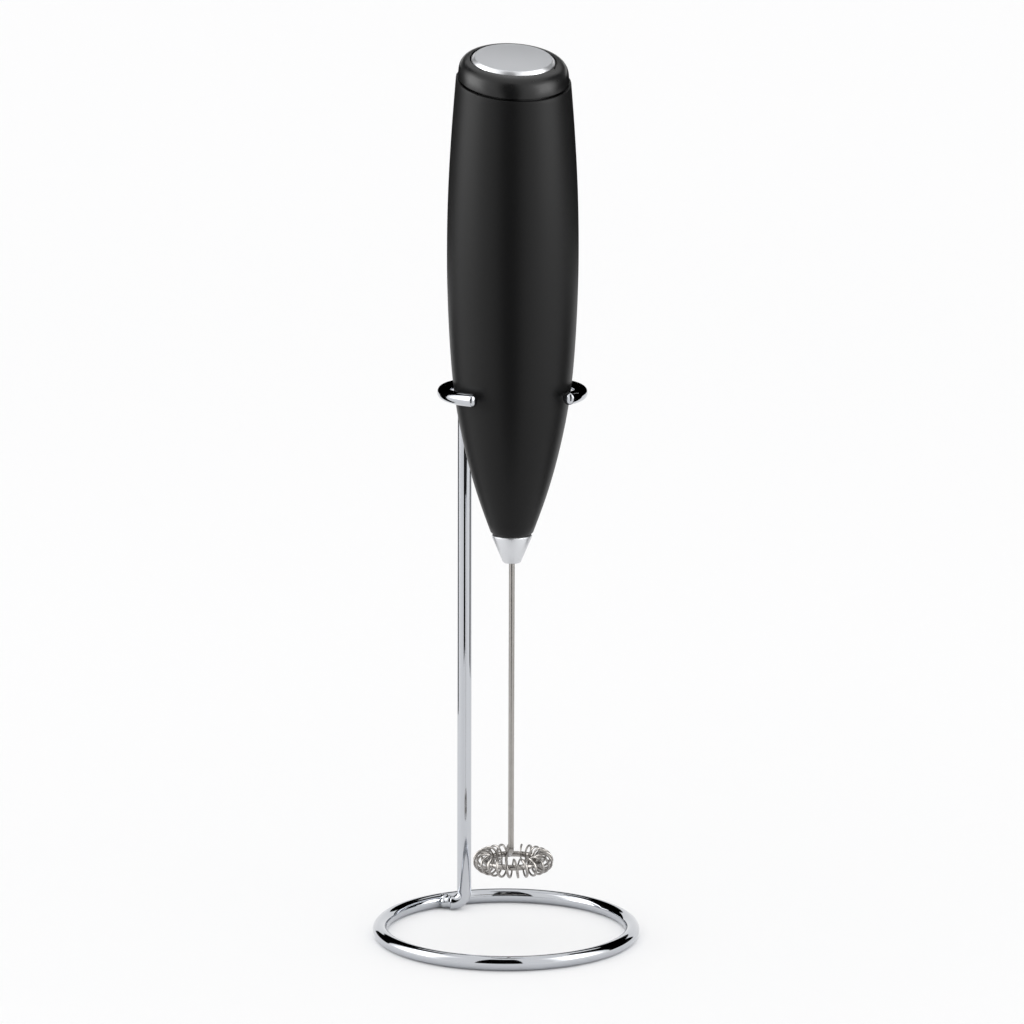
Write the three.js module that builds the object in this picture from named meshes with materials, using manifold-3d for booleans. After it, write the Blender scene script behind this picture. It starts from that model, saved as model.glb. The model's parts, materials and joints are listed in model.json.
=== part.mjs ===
// Battery milk frother standing in its wire stand. Millimetres, +Z up.
// Origin: the centre of the base ring, on the surface that the stand rests on.
// The clip opens towards -Y, and the top of the handle slants down towards -Y.
import * as THREE from 'three';
import { mergeVertices } from 'three/addons/utils/BufferGeometryUtils.js';
import Module from 'manifold-3d';

const wasm = await Module();
wasm.setup();

// ---------------------------------------------------------------- driving dimensions

const GAP = 0.3; // left between pieces that touch on the real object

// Stand, bent from round wire.
const BASE_DIAMETER = 70.5;
const WIRE = 3.8;
const CLIP_WIRE = 3.5;
const CLIP_RADIUS = 17.8;
const CLIP_HEIGHT = 146;
const CLIP_HALF_GAP = 42; // degrees each side of -Y
const POST = { x: -6.2, y: 27.1 };
const FOOT_TURN = 82; // degrees from +Y towards -X
const FOOT_BEND = 3.2;
const ARM_BEND = 8;

// The frother's own axis is vertical and stands a little in front of the base ring's centre.
const HANDLE_AXIS = { x: 0.4, y: -4.7 };

// Handle shell: [radius, height] knots of its outside, a smooth curve between them.
const HANDLE_KNOTS = [
  [5.75, 109.6], [7.3, 113.8], [9.95, 121.7], [12.35, 131], [14.45, 141.3], [15.6, 150],
  [16.35, 160.8], [16.95, 176.5], [16.75, 196], [15.7, 214.8], [14.65, 226.3], [13.95, 233],
];
const HANDLE_BOTTOM = 109.1;
const HANDLE_FOOT = 5.15;
const WALL = 1.4;
const MOUTH = 13.15; // inside radius where the cap plugs in

// Slanted top: the button's centre, and the tilt of its face and of the seam towards -Y.
const TOP = 232;
const TILT = THREE.MathUtils.degToRad(16.6);
const STRETCH = 1 / Math.cos(TILT); // height between slanted planes, per unit square to them
const SEAM = -5.12; // below the button's face, along the slanted axis
const RIM = -0.6;
const BUTTON_RADIUS = 10.75;
const BUTTON_THICKNESS = 1.8;
const BUTTON_CHAMFER = 0.85;
const RECESS_FLOOR = -4.2;
const CAP_BASE_RADIUS = 14.2; // the handle stands a little proud of the cap
const CAP_TOP_RADIUS = 13.9;
const CAP_SHOULDER = 2.8;
const CAP_LEAN = -0.4; // the handle's taper brings the seam this far forward of the axis
const PLUG_RADIUS = MOUTH - GAP;
const PLUG_BOTTOM = 216.8;
const SEAL_BOTTOM = 219.1;
const SEAL_TOP = 220.4;
const GROOVE_RADIUS = PLUG_RADIUS - 0.9;
const PLUG_INSIDE = 11;

// Button's stem, through the floor of the recess.
const STEM_RADIUS = 1.6;
const STEM_COLLAR = 3;
const STEM_LENGTH = 14.15;
const COLLAR_BOTTOM = -2.8;
const SOCKET_TOP = -1.2;

// Battery tray, with two cells side by side.
const CELL_RADIUS = 5.25;
const CELL_LENGTH = 44.5;
const CELL_OFFSET = 5.8;
const CELL_BOTTOM = 165.8;
const TRAY_RADIUS = 12.3;
const TRAY_BOTTOM = 163.5;
const TRAY_TOP = 214.6;
const CAVITY_BOTTOM = TRAY_BOTTOM + 1.8;
const CAVITY_TOP = 211.5;
const CELL_CLEARANCE = 0.35;
const SCREW_OFFSET = 8.8;
const SCREW_SHANK = 0.95;
const HEAD_POCKET_TOP = 213;

// Contact strips at the cells' upper ends.
const SWITCH_Y = 4.5;
const STRIP = 0.35;
const STRIP_HALF_WIDTH = 2;
const STRIP_END = 8.2;
const RISER = 3.8;
const RISER_SLOT = 1.2;
const TONGUE_END = -1.6;
const PAD_BOTTOM = CELL_BOTTOM + CELL_LENGTH + GAP;

// Motor, nose and whisk.
const MOTOR_BOTTOM = 130.5;
const MOTOR_LENGTH = 25;
const MOTOR_RADIUS = 10;
const MOTOR_FLAT = 7.55;
const MOTOR_SHAFT = 1;
const CAN_WALL = 0.8;
const CAN_FLOOR = 1;
const CAN_BORE = 1.4;
const MAGNET_INSIDE = 6.4;
const MAGNET_EDGE = 4.6;
const MAGNET_HALF_WIDTH = 5.6;
const END_CAP_BOTTOM = MOTOR_BOTTOM + MOTOR_LENGTH + GAP;
const END_CAP_TOP = END_CAP_BOTTOM + 1.8;
const ROTOR_BORE = MOTOR_SHAFT + GAP;
const CRADLE_BOTTOM = 134.5;
const DECK_BOTTOM = 160.9;
const DECK_TOP = DECK_BOTTOM + 1.5;
const DECK_SCREW_Y = 11;
const LEAD_X = 6.5;
const LEAD_Y = -3.6;
const LEAD_RADIUS = 0.45;
const FLOOR_TOP = 112;
const FLOOR_BORE = 4.2;
const NECK_POCKET = 4.8;
const NECK_POCKET_TOP = 110.2;
const COUPLING = { radius: 2.6, bottom: 114, step: 119, top: 125 };
const BUSH_RADIUS = 2.2;
const BUSH_BOTTOM = 104.5;
const NOSE_BOTTOM = 101.3;
const NOSE_TOP = 108.55;
const NOSE_RADIUS = 5.18;
const NOSE_TIP = 2.4;
const NOSE_BORE = 1.15;
const NOSE_HOLLOW = 2.5;
const NOSE_HOLLOW_BOTTOM = 104.2;
const SHAFT = 0.755;
const SHAFT_TOP = 118.4;
const WHISK_HEIGHT = 21.5;
const WHISK_SHIFT = 0.6;
const HOOP_RADIUS = 7.2;
const HOOP_START = 85; // degrees, going anticlockwise seen from above
const HOOP_SPAN = 332;
const SPOKE_RISE = 2.3;
const SPOKE_CORNER = 1.4;
const COIL_RING = 8;
const COIL_RADIUS = 2.32;
const COIL_WIRE = 0.6;
const COIL_TURNS = 22;
const COIL_START = 93;
const COIL_SPAN = 323;

// ---------------------------------------------------------------- materials

/** Steel, plastic or rubber as a colour, a roughness and a metalness. */
function finish(color, roughness, metalness = 0) {
  return new THREE.MeshStandardMaterial({ color, roughness, metalness });
}

const chrome = finish(0xc9cdd2, 0.08, 1);
const stainless = finish(0x8f8a85, 0.3, 1);
const satinSilver = finish(0xbfc1c4, 0.32, 1);
const softBlack = finish(0x1c1c1d, 0.6);
const glossBlack = finish(0x0c0c0d, 0.15);
const trayBlack = finish(0x222224, 0.5);
const rubber = finish(0x151515, 0.8);
const motorSteel = finish(0xa3a6a8, 0.35, 1);
const magnet = finish(0x3a3a3c, 0.7);
const laminations = finish(0x6d6f73, 0.5, 1);
const copper = finish(0xb5713f, 0.35, 1);
const brass = finish(0xb99a55, 0.3, 1);
const nylon = finish(0xe6e3da, 0.5);
const springSteel = finish(0xb4b6b8, 0.25, 1);
const cellWrap = finish(0x3b5f4a, 0.4);
const redWire = finish(0xa3231c, 0.5);
const blackWire = finish(0x1b1b1b, 0.5);

// ---------------------------------------------------------------- shape helpers

const radians = THREE.MathUtils.degToRad;

/** Twice the signed area of an outline. */
function winding(outline) {
  return outline.reduce((sum, [x, y], i) => {
    const [nextX, nextY] = outline[(i + 1) % outline.length];
    return sum + x * nextY - nextX * y;
  }, 0);
}

/** A solid turned about Z from a [radius, height] outline, which may touch the axis at its two ends. */
function turned(outline, segments = 24) {
  const ordered = winding(outline) > 0 ? outline : [...outline].reverse();
  const points = ordered.map(([radius, height]) => new THREE.Vector2(radius, height));
  if (ordered[0][0] > 0) points.push(points[0].clone());
  return new THREE.LatheGeometry(points, segments).rotateX(Math.PI / 2);
}

/** A tube or washer: inner radius, outer radius, bottom and top. */
function sleeve(inner, outer, bottom, top, segments = 24) {
  return turned([[inner, bottom], [outer, bottom], [outer, top], [inner, top]], segments);
}

/** An upright round rod. */
function rod(radius, bottom, top, segments = 24) {
  return turned([[0, bottom], [radius, bottom], [radius, top], [0, top]], segments);
}

/** A box from its lowest to its highest corner. */
function block(low, high) {
  const size = high.map((value, i) => value - low[i]);
  return new THREE.BoxGeometry(...size).translate(...low.map((value, i) => value + size[i] / 2));
}

/** A flat plate: an [x, z] outline, from one y to another. */
function plate(outline, from, to) {
  const shape = new THREE.Shape(outline.map(([x, z]) => new THREE.Vector2(x, z)));
  const solid = new THREE.ExtrudeGeometry(shape, { depth: to - from, bevelEnabled: false });
  return solid.rotateX(Math.PI / 2).translate(0, to, 0);
}

/** A path that has its sections exactly at the given points. */
class SampledPath extends THREE.Curve {
  constructor(points) {
    super();
    this.points = points;
  }

  getPoint(t, target = new THREE.Vector3()) {
    const place = THREE.MathUtils.clamp(t, 0, 1) * (this.points.length - 1);
    const index = Math.min(Math.floor(place), this.points.length - 2);
    return target.lerpVectors(this.points[index], this.points[index + 1], place - index);
  }

  getPointAt(u, target) {
    return this.getPoint(u, target);
  }

  getTangentAt(u, target) {
    return this.getTangent(u, target);
  }
}

/** A round wire along a list of points, with flat ends. */
function wire(points, radius, sides = 12) {
  const section = Array.from({ length: sides }, (_, i) => {
    const angle = (i + 0.5) * 2 * Math.PI / sides;
    return new THREE.Vector2(radius * Math.cos(angle), radius * Math.sin(angle));
  });
  return new THREE.ExtrudeGeometry(new THREE.Shape(section), {
    steps: points.length - 1, bevelEnabled: false, extrudePath: new SampledPath(points),
  });
}

/** Points on an arc from one unit direction towards another, round a centre. */
function arc(centre, radius, from, to, angle, steps) {
  return Array.from({ length: steps + 1 }, (_, i) => {
    const turn = angle * i / steps;
    return centre.clone()
      .addScaledVector(from, radius * Math.cos(turn))
      .addScaledVector(to, radius * Math.sin(turn));
  });
}

/** Points on a level circle, from one angle to another in degrees. */
function levelArc(x, y, height, radius, start, end, steps) {
  return Array.from({ length: steps + 1 }, (_, i) => {
    const angle = radians(start + (end - start) * i / steps);
    return new THREE.Vector3(x + radius * Math.cos(angle), y + radius * Math.sin(angle), height);
  });
}

/** Points of an upright coil spring whose radius runs evenly from bottom to top. */
function coilPoints(bottomRadius, topRadius, bottom, top, turns, stepsPerTurn = 12) {
  const steps = Math.round(turns * stepsPerTurn);
  return Array.from({ length: steps + 1 }, (_, i) => {
    const share = i / steps;
    const angle = share * turns * 2 * Math.PI;
    const radius = bottomRadius + (topRadius - bottomRadius) * share;
    return new THREE.Vector3(
      radius * Math.cos(angle), radius * Math.sin(angle), bottom + (top - bottom) * share);
  });
}

/** A closed geometry as a solid that can be joined and cut. */
function solid(geometry) {
  const bare = geometry.clone();
  bare.deleteAttribute('normal');
  bare.deleteAttribute('uv');
  const merged = mergeVertices(bare, 1e-4);
  return new wasm.Manifold(new wasm.Mesh({
    numProp: 3,
    vertProperties: new Float32Array(merged.attributes.position.array),
    triVerts: new Uint32Array(merged.index.array),
  }));
}

/** A joined or cut solid as a geometry again. */
function geometryOf(shape) {
  const mesh = shape.getMesh();
  const geometry = new THREE.BufferGeometry();
  geometry.setAttribute('position', new THREE.BufferAttribute(mesh.vertProperties, 3));
  geometry.setIndex(new THREE.BufferAttribute(mesh.triVerts, 1));
  geometry.computeVertexNormals();
  return geometry;
}

/** The first geometry with the second list joined on and the third list cut away. */
function built(base, joined = [], cut = []) {
  const whole = joined.reduce((shape, extra) => shape.add(solid(extra)), solid(base));
  return geometryOf(cut.reduce((shape, tool) => shape.subtract(solid(tool)), whole));
}

/** What two geometries have in common. */
function common(a, b) {
  return geometryOf(solid(a).intersect(solid(b)));
}

/** From the slanted frame of the button's face, whose Z is its outward normal, to the frother's. */
const slant = new THREE.Matrix4().makeTranslation(0, 0, TOP)
  .multiply(new THREE.Matrix4().makeRotationX(TILT));

const BLOCK_REACH = 80; // half the width of the blocks that cut with one slanted face

/** Everything below a level of the slanted frame. */
function below(level) {
  return block([-BLOCK_REACH, -BLOCK_REACH, level - 2 * BLOCK_REACH],
    [BLOCK_REACH, BLOCK_REACH, level]).applyMatrix4(slant);
}

function mesh(name, geometry, material) {
  const piece = new THREE.Mesh(geometry, material);
  piece.name = name;
  return piece;
}

// ---------------------------------------------------------------- stand

/** The base ring is a closed ring of wire. Its section has a narrow flat that lies on the table. */
function baseRing() {
  const sides = 12;
  const centre = (BASE_DIAMETER - WIRE) / 2;
  const corner = WIRE / 2 / Math.cos(Math.PI / sides);
  const outline = Array.from({ length: sides }, (_, i) => {
    const angle = (i + 0.5) * 2 * Math.PI / sides;
    return [centre + corner * Math.cos(angle), WIRE / 2 + corner * Math.sin(angle)];
  });
  return mesh('base_ring', turned(outline, 40), chrome);
}

/** The post rises from a bent foot at the base ring and bends forward into an arm behind the clip. */
function standPost() {
  const up = new THREE.Vector3(0, 0, 1);
  const down = up.clone().negate();
  const lift = WIRE / 2 + 0.05;
  const turn = radians(FOOT_TURN);
  const footWay = new THREE.Vector3(-Math.sin(turn), Math.cos(turn), 0);
  const clipCentre = new THREE.Vector3(HANDLE_AXIS.x, HANDLE_AXIS.y, 0);
  const armWay = clipCentre.clone().sub(new THREE.Vector3(POST.x, POST.y, 0));
  const armLength = armWay.length() - CLIP_RADIUS - CLIP_WIRE / 2 - 2 * GAP;
  armWay.normalize();
  const footCentre = new THREE.Vector3(POST.x, POST.y, lift + FOOT_BEND)
    .addScaledVector(footWay, FOOT_BEND);
  const foot = arc(footCentre, FOOT_BEND, down, footWay.clone().negate(), Math.PI / 2, 8);
  const armCentre = new THREE.Vector3(POST.x, POST.y, CLIP_HEIGHT - ARM_BEND)
    .addScaledVector(armWay, ARM_BEND);
  const bend = arc(armCentre, ARM_BEND, armWay.clone().negate(), up, Math.PI / 2, 8);
  const armEnd = new THREE.Vector3(POST.x, POST.y, CLIP_HEIGHT).addScaledVector(armWay, armLength);
  return mesh('stand_post', wire([...foot, ...bend, armEnd], WIRE / 2), chrome);
}

/** The clip is an open ring of wire that the taper of the handle sits in. */
function clipRing() {
  const path = levelArc(HANDLE_AXIS.x, HANDLE_AXIS.y, CLIP_HEIGHT, CLIP_RADIUS,
    -90 + CLIP_HALF_GAP, 270 - CLIP_HALF_GAP, 32);
  return mesh('clip_ring', wire(path, CLIP_WIRE / 2), chrome);
}

// ---------------------------------------------------------------- handle

const handleCurve = new THREE.SplineCurve(HANDLE_KNOTS.map(([r, z]) => new THREE.Vector2(r, z)))
  .getPoints(24)
  .map((point) => [point.x, point.y]);

/** The handle's outside radius at a height. */
function handleRadius(height) {
  const next = handleCurve.findIndex(([, z]) => z >= height);
  const [r0, z0] = handleCurve[Math.max(next - 1, 0)];
  const [r1, z1] = handleCurve[next];
  return z1 === z0 ? r1 : r0 + (r1 - r0) * (height - z0) / (z1 - z0);
}

/** The shell is one long soft-touch moulding, open at the slanted mouth and at the neck. */
function handleShell() {
  const outside = [[HANDLE_FOOT, HANDLE_BOTTOM], ...handleCurve];
  const inside = handleCurve
    .filter(([, z], i) => z > FLOOR_TOP + 1 && i % 3 === 0)
    .map(([r, z]) => [Math.max(r - WALL, FLOOR_BORE), z])
    .filter(([r, z]) => z < 190 || r > MOUTH)
    .reverse();
  const outline = [
    ...outside,
    [MOUTH, handleCurve[handleCurve.length - 1][1]],
    ...inside,
    [FLOOR_BORE, FLOOR_TOP],
    [FLOOR_BORE, NECK_POCKET_TOP],
    [NECK_POCKET, NECK_POCKET_TOP],
    [NECK_POCKET, HANDLE_BOTTOM],
  ];
  return mesh('handle_shell', common(turned(outline, 40), below(SEAM - GAP / 2)), softBlack);
}

/** The nose cone's hollow stem passes up through the floor of the handle and holds the bush. */
function noseCone() {
  const outline = [
    [NOSE_BORE, NOSE_BOTTOM], [NOSE_TIP - 0.35, NOSE_BOTTOM], [NOSE_TIP, NOSE_BOTTOM + 0.35],
    [NOSE_RADIUS, NOSE_TOP - 0.4], [NOSE_RADIUS, NOSE_TOP],
    [FLOOR_BORE - GAP, NOSE_TOP], [FLOOR_BORE - GAP, FLOOR_TOP],
    [NOSE_HOLLOW, FLOOR_TOP], [NOSE_HOLLOW, NOSE_HOLLOW_BOTTOM], [NOSE_BORE, NOSE_HOLLOW_BOTTOM],
  ];
  return mesh('nose_cone', turned(outline, 28), satinSilver);
}

function neckRing() {
  const inner = FLOOR_BORE;
  const outer = NECK_POCKET - GAP;
  return mesh('neck_ring', sleeve(inner, outer, NOSE_TOP + GAP, NECK_POCKET_TOP - GAP, 36), rubber);
}

function shaftBush() {
  return mesh('shaft_bush', sleeve(SHAFT + GAP, BUSH_RADIUS, BUSH_BOTTOM, FLOOR_TOP - GAP), brass);
}

/** The cradle centres the motor in the taper of the shell and carries the contact deck. */
function motorCradle() {
  const limit = MOUTH - 0.15; // it goes in through the mouth
  const heights = [CRADLE_BOTTOM, 138, 141, 144, DECK_BOTTOM - GAP];
  const outside = heights.map((z) => [Math.min(handleRadius(z) - WALL - 0.45, limit), z]);
  const bore = MOTOR_RADIUS + GAP;
  const outline = [...outside, [bore, DECK_BOTTOM - GAP], [bore, CRADLE_BOTTOM]];
  return mesh('motor_cradle', turned(outline, 36), trayBlack);
}

/** A round bar of the motor's section, with its two flat sides. */
function motorBar(radius, flat, bottom, top) {
  const sides = block([-radius, -flat, bottom - 1], [radius, flat, top + 1]);
  return common(rod(radius, bottom, top, 36), sides);
}

function motorCan() {
  const top = MOTOR_BOTTOM + MOTOR_LENGTH;
  const inside = motorBar(
    MOTOR_RADIUS - CAN_WALL, MOTOR_FLAT - CAN_WALL, MOTOR_BOTTOM + CAN_FLOOR, top + 1);
  const nose = rod(3.1, MOTOR_BOTTOM - 1.5, MOTOR_BOTTOM + 0.5);
  const bore = rod(CAN_BORE, MOTOR_BOTTOM - 2, MOTOR_BOTTOM + 2);
  const can = built(motorBar(MOTOR_RADIUS, MOTOR_FLAT, MOTOR_BOTTOM, top), [nose], [inside, bore]);
  return mesh('motor_can', can, motorSteel);
}

/** One of the two arc magnets inside the can. */
function motorMagnet(name, side) {
  const ring = sleeve(
    MAGNET_INSIDE, MOTOR_RADIUS - CAN_WALL - GAP, MOTOR_BOTTOM + 3, MOTOR_BOTTOM + 20, 36);
  const low = side < 0 ? -MOTOR_RADIUS : MAGNET_EDGE;
  const half = block([low, -MAGNET_HALF_WIDTH, 0],
    [low + MOTOR_RADIUS - MAGNET_EDGE, MAGNET_HALF_WIDTH, 2 * MOTOR_BOTTOM]);
  return mesh(name, common(ring, half), magnet);
}

/** The nylon end cap closes the can and has a bearing pocket for the shaft. */
function motorEndCap() {
  const pocket = rod(CAN_BORE, END_CAP_BOTTOM - 1, END_CAP_BOTTOM + 1);
  const plateShape = motorBar(MOTOR_RADIUS - GAP, MOTOR_FLAT - GAP, END_CAP_BOTTOM, END_CAP_TOP);
  return mesh('motor_end_cap', built(plateShape, [], [pocket]), nylon);
}

/** The contact deck closes the motor bay and carries the two springs under the cells. */
function contactDeck() {
  const deck = rod(MOUTH - 0.25, DECK_BOTTOM, DECK_TOP, 36);
  const holes = [-1, 1].flatMap((side) => [
    rod(1, DECK_BOTTOM - 1, DECK_TOP + 1, 12).translate(side * LEAD_X, LEAD_Y, 0),
    rod(1.3, DECK_BOTTOM - 1, DECK_TOP + 1, 12).translate(0, side * DECK_SCREW_Y, 0),
  ]);
  return mesh('contact_deck', built(deck, [], holes), trayBlack);
}

/** One of the two leads from the motor to a contact spring. */
function motorLead(name, side, material) {
  const low = END_CAP_TOP + GAP;
  const path = new THREE.CatmullRomCurve3([
    new THREE.Vector3(side * 4.5, 1, low),
    new THREE.Vector3(side * 4.7, 0.8, low + 0.9),
    new THREE.Vector3(side * (LEAD_X - 0.2), LEAD_Y + 0.6, DECK_BOTTOM - 1),
    new THREE.Vector3(side * LEAD_X, LEAD_Y, DECK_BOTTOM + 0.6),
  ]).getSpacedPoints(8);
  return mesh(name, wire(path, LEAD_RADIUS, 8), material);
}

/** One conical contact spring on the deck, pressing up into the tray. */
function contactSpring(name, side) {
  const thickness = 0.25;
  const low = DECK_TOP + GAP + thickness;
  const high = CELL_BOTTOM - GAP - thickness;
  const coil = wire(coilPoints(2.9, 1.7, low, high, 3), thickness, 6);
  return mesh(name, coil.translate(side * CELL_OFFSET, 0, 0), springSteel);
}

/** A pan-head screw: its head between two heights, and its shank from there to the tip. */
function screw(name, x, y, head, tip, headRadius = 1.8) {
  const far = tip > head[1] ? head[0] : head[1];
  const near = tip > head[1] ? head[1] : head[0];
  const outline = [
    [0, far], [headRadius, far], [headRadius, near], [SCREW_SHANK, near], [SCREW_SHANK, tip], [0, tip],
  ];
  return mesh(name, turned(outline, 16).translate(x, y, 0), springSteel);
}

function deckScrews() {
  return [-1, 1].map((side, i) => screw(
    `deck_screw_${i + 1}`, 0, side * DECK_SCREW_Y,
    [DECK_TOP + 0.2, DECK_TOP + 0.9], DECK_BOTTOM + 0.1, 1.5));
}

function handleGroup() {
  const group = new THREE.Group();
  group.add(
    handleShell(), noseCone(), neckRing(), shaftBush(), motorCradle(), motorCan(),
    motorMagnet('magnet_left', -1), motorMagnet('magnet_right', 1), motorEndCap(), contactDeck(),
    contactSpring('contact_spring_1', -1), contactSpring('contact_spring_2', 1),
    motorLead('lead_red', -1, redWire), motorLead('lead_black', 1, blackWire), ...deckScrews());
  return group;
}

// ---------------------------------------------------------------- top cap, tray and cells

/** The cap's outside above the seam: a round drum with upright sides, sheared to the slant. */
function capDrum() {
  const base = (SEAM + GAP / 2) * STRETCH;
  const rim = RIM * STRETCH;
  const round = Array.from({ length: 7 }, (_, i) => {
    const angle = i * Math.PI / 12;
    return [
      CAP_TOP_RADIUS - CAP_SHOULDER + CAP_SHOULDER * Math.cos(angle),
      rim - CAP_SHOULDER + CAP_SHOULDER * Math.sin(angle),
    ];
  });
  const outline = [[0, base], [CAP_BASE_RADIUS, base], ...round, [0, rim]];
  const shear = new THREE.Matrix4().set(1, 0, 0, 0, 0, 1, 0, 0, 0, Math.tan(TILT), 1, TOP, 0, 0, 0, 1);
  return turned(outline, 40).translate(0, CAP_LEAN, 0).applyMatrix4(shear);
}

/** The top cap: drum, plug into the handle, recess for the button, and two screw bosses. */
function topCap() {
  const ceiling = RECESS_FLOOR - 1.5;
  const plug = common(rod(PLUG_RADIUS, PLUG_BOTTOM, TOP + 5, 48), below(SEAM + 0.5));
  const recess = rod(BUTTON_RADIUS + GAP, RECESS_FLOOR, 5, 48).applyMatrix4(slant);
  const hollow = common(rod(PLUG_INSIDE, PLUG_BOTTOM - 1, TOP, 36), below(ceiling));
  const groove = sleeve(GROOVE_RADIUS, PLUG_RADIUS + 1, SEAL_BOTTOM - GAP, SEAL_TOP + GAP, 48);
  const stemBore = rod(STEM_RADIUS + 0.35, RECESS_FLOOR - 6, 1).applyMatrix4(slant);
  const bosses = [-1, 1].map((side) => common(
    rod(2.1, TRAY_TOP + GAP, TOP, 16).translate(side * SCREW_OFFSET, 0, 0), below(ceiling + 0.5)));
  const pilots = [-1, 1].map((side) => rod(SCREW_SHANK + 0.2, TRAY_TOP - 1, TRAY_TOP + 7, 16)
    .translate(side * SCREW_OFFSET, 0, 0));
  const shell = built(capDrum(), [plug], [hollow, groove]);
  return mesh('top_cap', built(shell, bosses, [recess, stemBore, ...pilots]), glossBlack);
}

function capSeal() {
  const seal = sleeve(GROOVE_RADIUS + GAP, PLUG_RADIUS + 0.1, SEAL_BOTTOM, SEAL_TOP, 48);
  return mesh('cap_seal', seal, rubber);
}

/** The battery tray: a D-shaped carrier, open in front, with two troughs between two end plates. */
function batteryTray() {
  const wide = 20;
  const rear = 7.6;
  const half = RISER_SLOT / 2;
  const bar = common(rod(TRAY_RADIUS, TRAY_BOTTOM, TRAY_TOP, 36),
    block([-wide, -wide, TRAY_BOTTOM - 1], [wide, rear, TRAY_TOP + 1]));
  const troughs = [-1, 1].map((side) => rod(CELL_RADIUS + CELL_CLEARANCE, CAVITY_BOTTOM, CAVITY_TOP)
    .translate(side * CELL_OFFSET, 0, 0));
  const front = block([-wide, -wide, CAVITY_BOTTOM], [wide, -1.5, CAVITY_TOP]);
  const stripPocket = block(
    [-STRIP_END - 0.8, -wide, PAD_BOTTOM - GAP], [STRIP_END + 0.8, SWITCH_Y + 2.4, CAVITY_TOP]);
  const springHoles = [-1, 1].map((side) => rod(3.6, TRAY_BOTTOM - 1, CAVITY_BOTTOM + 1)
    .translate(side * CELL_OFFSET, 0, 0));
  const slots = [-1, 1].map((side) => block(
    [side * RISER - half, SWITCH_Y - 2.4, CAVITY_TOP - 1],
    [side * RISER + half, SWITCH_Y + 2.4, TRAY_TOP + 1]));
  const screwHoles = [-1, 1].flatMap((side) => [
    rod(SCREW_SHANK + GAP, CAVITY_TOP - 1, TRAY_TOP + 1, 16).translate(side * SCREW_OFFSET, 0, 0),
    rod(2.1, CAVITY_TOP - 1, HEAD_POCKET_TOP, 16).translate(side * SCREW_OFFSET, 0, 0),
  ]);
  return mesh('battery_tray',
    built(bar, [], [...troughs, front, stripPocket, ...springHoles, ...slots, ...screwHoles]), trayBlack);
}

/** A cell with its raised contact at one end. */
function cell(name, side, nubDown) {
  const nub = 1;
  const top = CELL_BOTTOM + CELL_LENGTH;
  const flipped = (z) => (nubDown ? CELL_BOTTOM + top - z : z);
  const nubRadius = 1.9;
  const edge = 0.3;
  const outline = [
    [0, CELL_BOTTOM], [CELL_RADIUS - edge, CELL_BOTTOM], [CELL_RADIUS, CELL_BOTTOM + edge],
    [CELL_RADIUS, top - nub - edge], [CELL_RADIUS - edge, top - nub], [nubRadius, top - nub],
    [nubRadius, top], [0, top],
  ];
  const solidCell = turned(outline.map(([r, z]) => [r, flipped(z)]));
  return mesh(name, solidCell.translate(side * CELL_OFFSET, 0, 0), cellWrap);
}

/** A contact strip: a pad on one cell, a riser through the tray, and a tongue over the middle. */
function contactStrip(name, side, tongueHeight) {
  const outer = RISER + STRIP / 2;
  const inner = RISER - STRIP / 2;
  const outline = [
    [STRIP_END, PAD_BOTTOM], [STRIP_END, PAD_BOTTOM + STRIP], [outer, PAD_BOTTOM + STRIP],
    [outer, tongueHeight + STRIP], [TONGUE_END, tongueHeight + STRIP], [TONGUE_END, tongueHeight],
    [inner, tongueHeight], [inner, PAD_BOTTOM],
  ].map(([x, z]) => [side * x, z]);
  const strip = plate(outline, SWITCH_Y - STRIP_HALF_WIDTH, SWITCH_Y + STRIP_HALF_WIDTH);
  const [left, right] = side < 0 ? [-STRIP_END, -RISER] : [RISER, STRIP_END];
  const pad = block([left, -2, PAD_BOTTOM], [right, 3, PAD_BOTTOM + STRIP]);
  return mesh(name, built(strip, [pad]), brass);
}

function trayScrews() {
  return [-1, 1].map((side, i) => screw(
    `cap_screw_${i + 1}`, side * SCREW_OFFSET, 0,
    [CAVITY_TOP + 0.2, HEAD_POCKET_TOP - GAP], TRAY_TOP + 6.5));
}

/** The coil spring that lifts the button, round the stem in the floor of the recess. */
function buttonSpring() {
  const thickness = 0.2;
  const radius = 4.4;
  const bottom = RECESS_FLOOR + GAP + thickness;
  const top = -BUTTON_THICKNESS - GAP - thickness;
  const coil = wire(coilPoints(radius, radius, bottom, top, 2), thickness, 6);
  return mesh('button_spring', coil.applyMatrix4(slant), springSteel);
}

function capGroup() {
  const group = new THREE.Group();
  group.add(
    topCap(), capSeal(), batteryTray(), cell('cell_1', -1, true), cell('cell_2', 1, false),
    contactStrip('switch_leaf', -1, TRAY_TOP + 1.5), contactStrip('switch_strip', 1, TRAY_TOP + GAP),
    ...trayScrews(), buttonSpring());
  return group;
}

// ---------------------------------------------------------------- button

/** The button is a satin metal disc with a bright chamfer, and a socket for the stem underneath. */
function buttonDisc() {
  const outline = [
    [0, SOCKET_TOP], [STEM_RADIUS + GAP, SOCKET_TOP], [STEM_RADIUS + GAP, -BUTTON_THICKNESS],
    [BUTTON_RADIUS, -BUTTON_THICKNESS], [BUTTON_RADIUS, -BUTTON_CHAMFER],
    [BUTTON_RADIUS - BUTTON_CHAMFER, 0], [0, 0],
  ];
  return mesh('button_disc', turned(outline, 36).applyMatrix4(slant), satinSilver);
}

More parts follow.
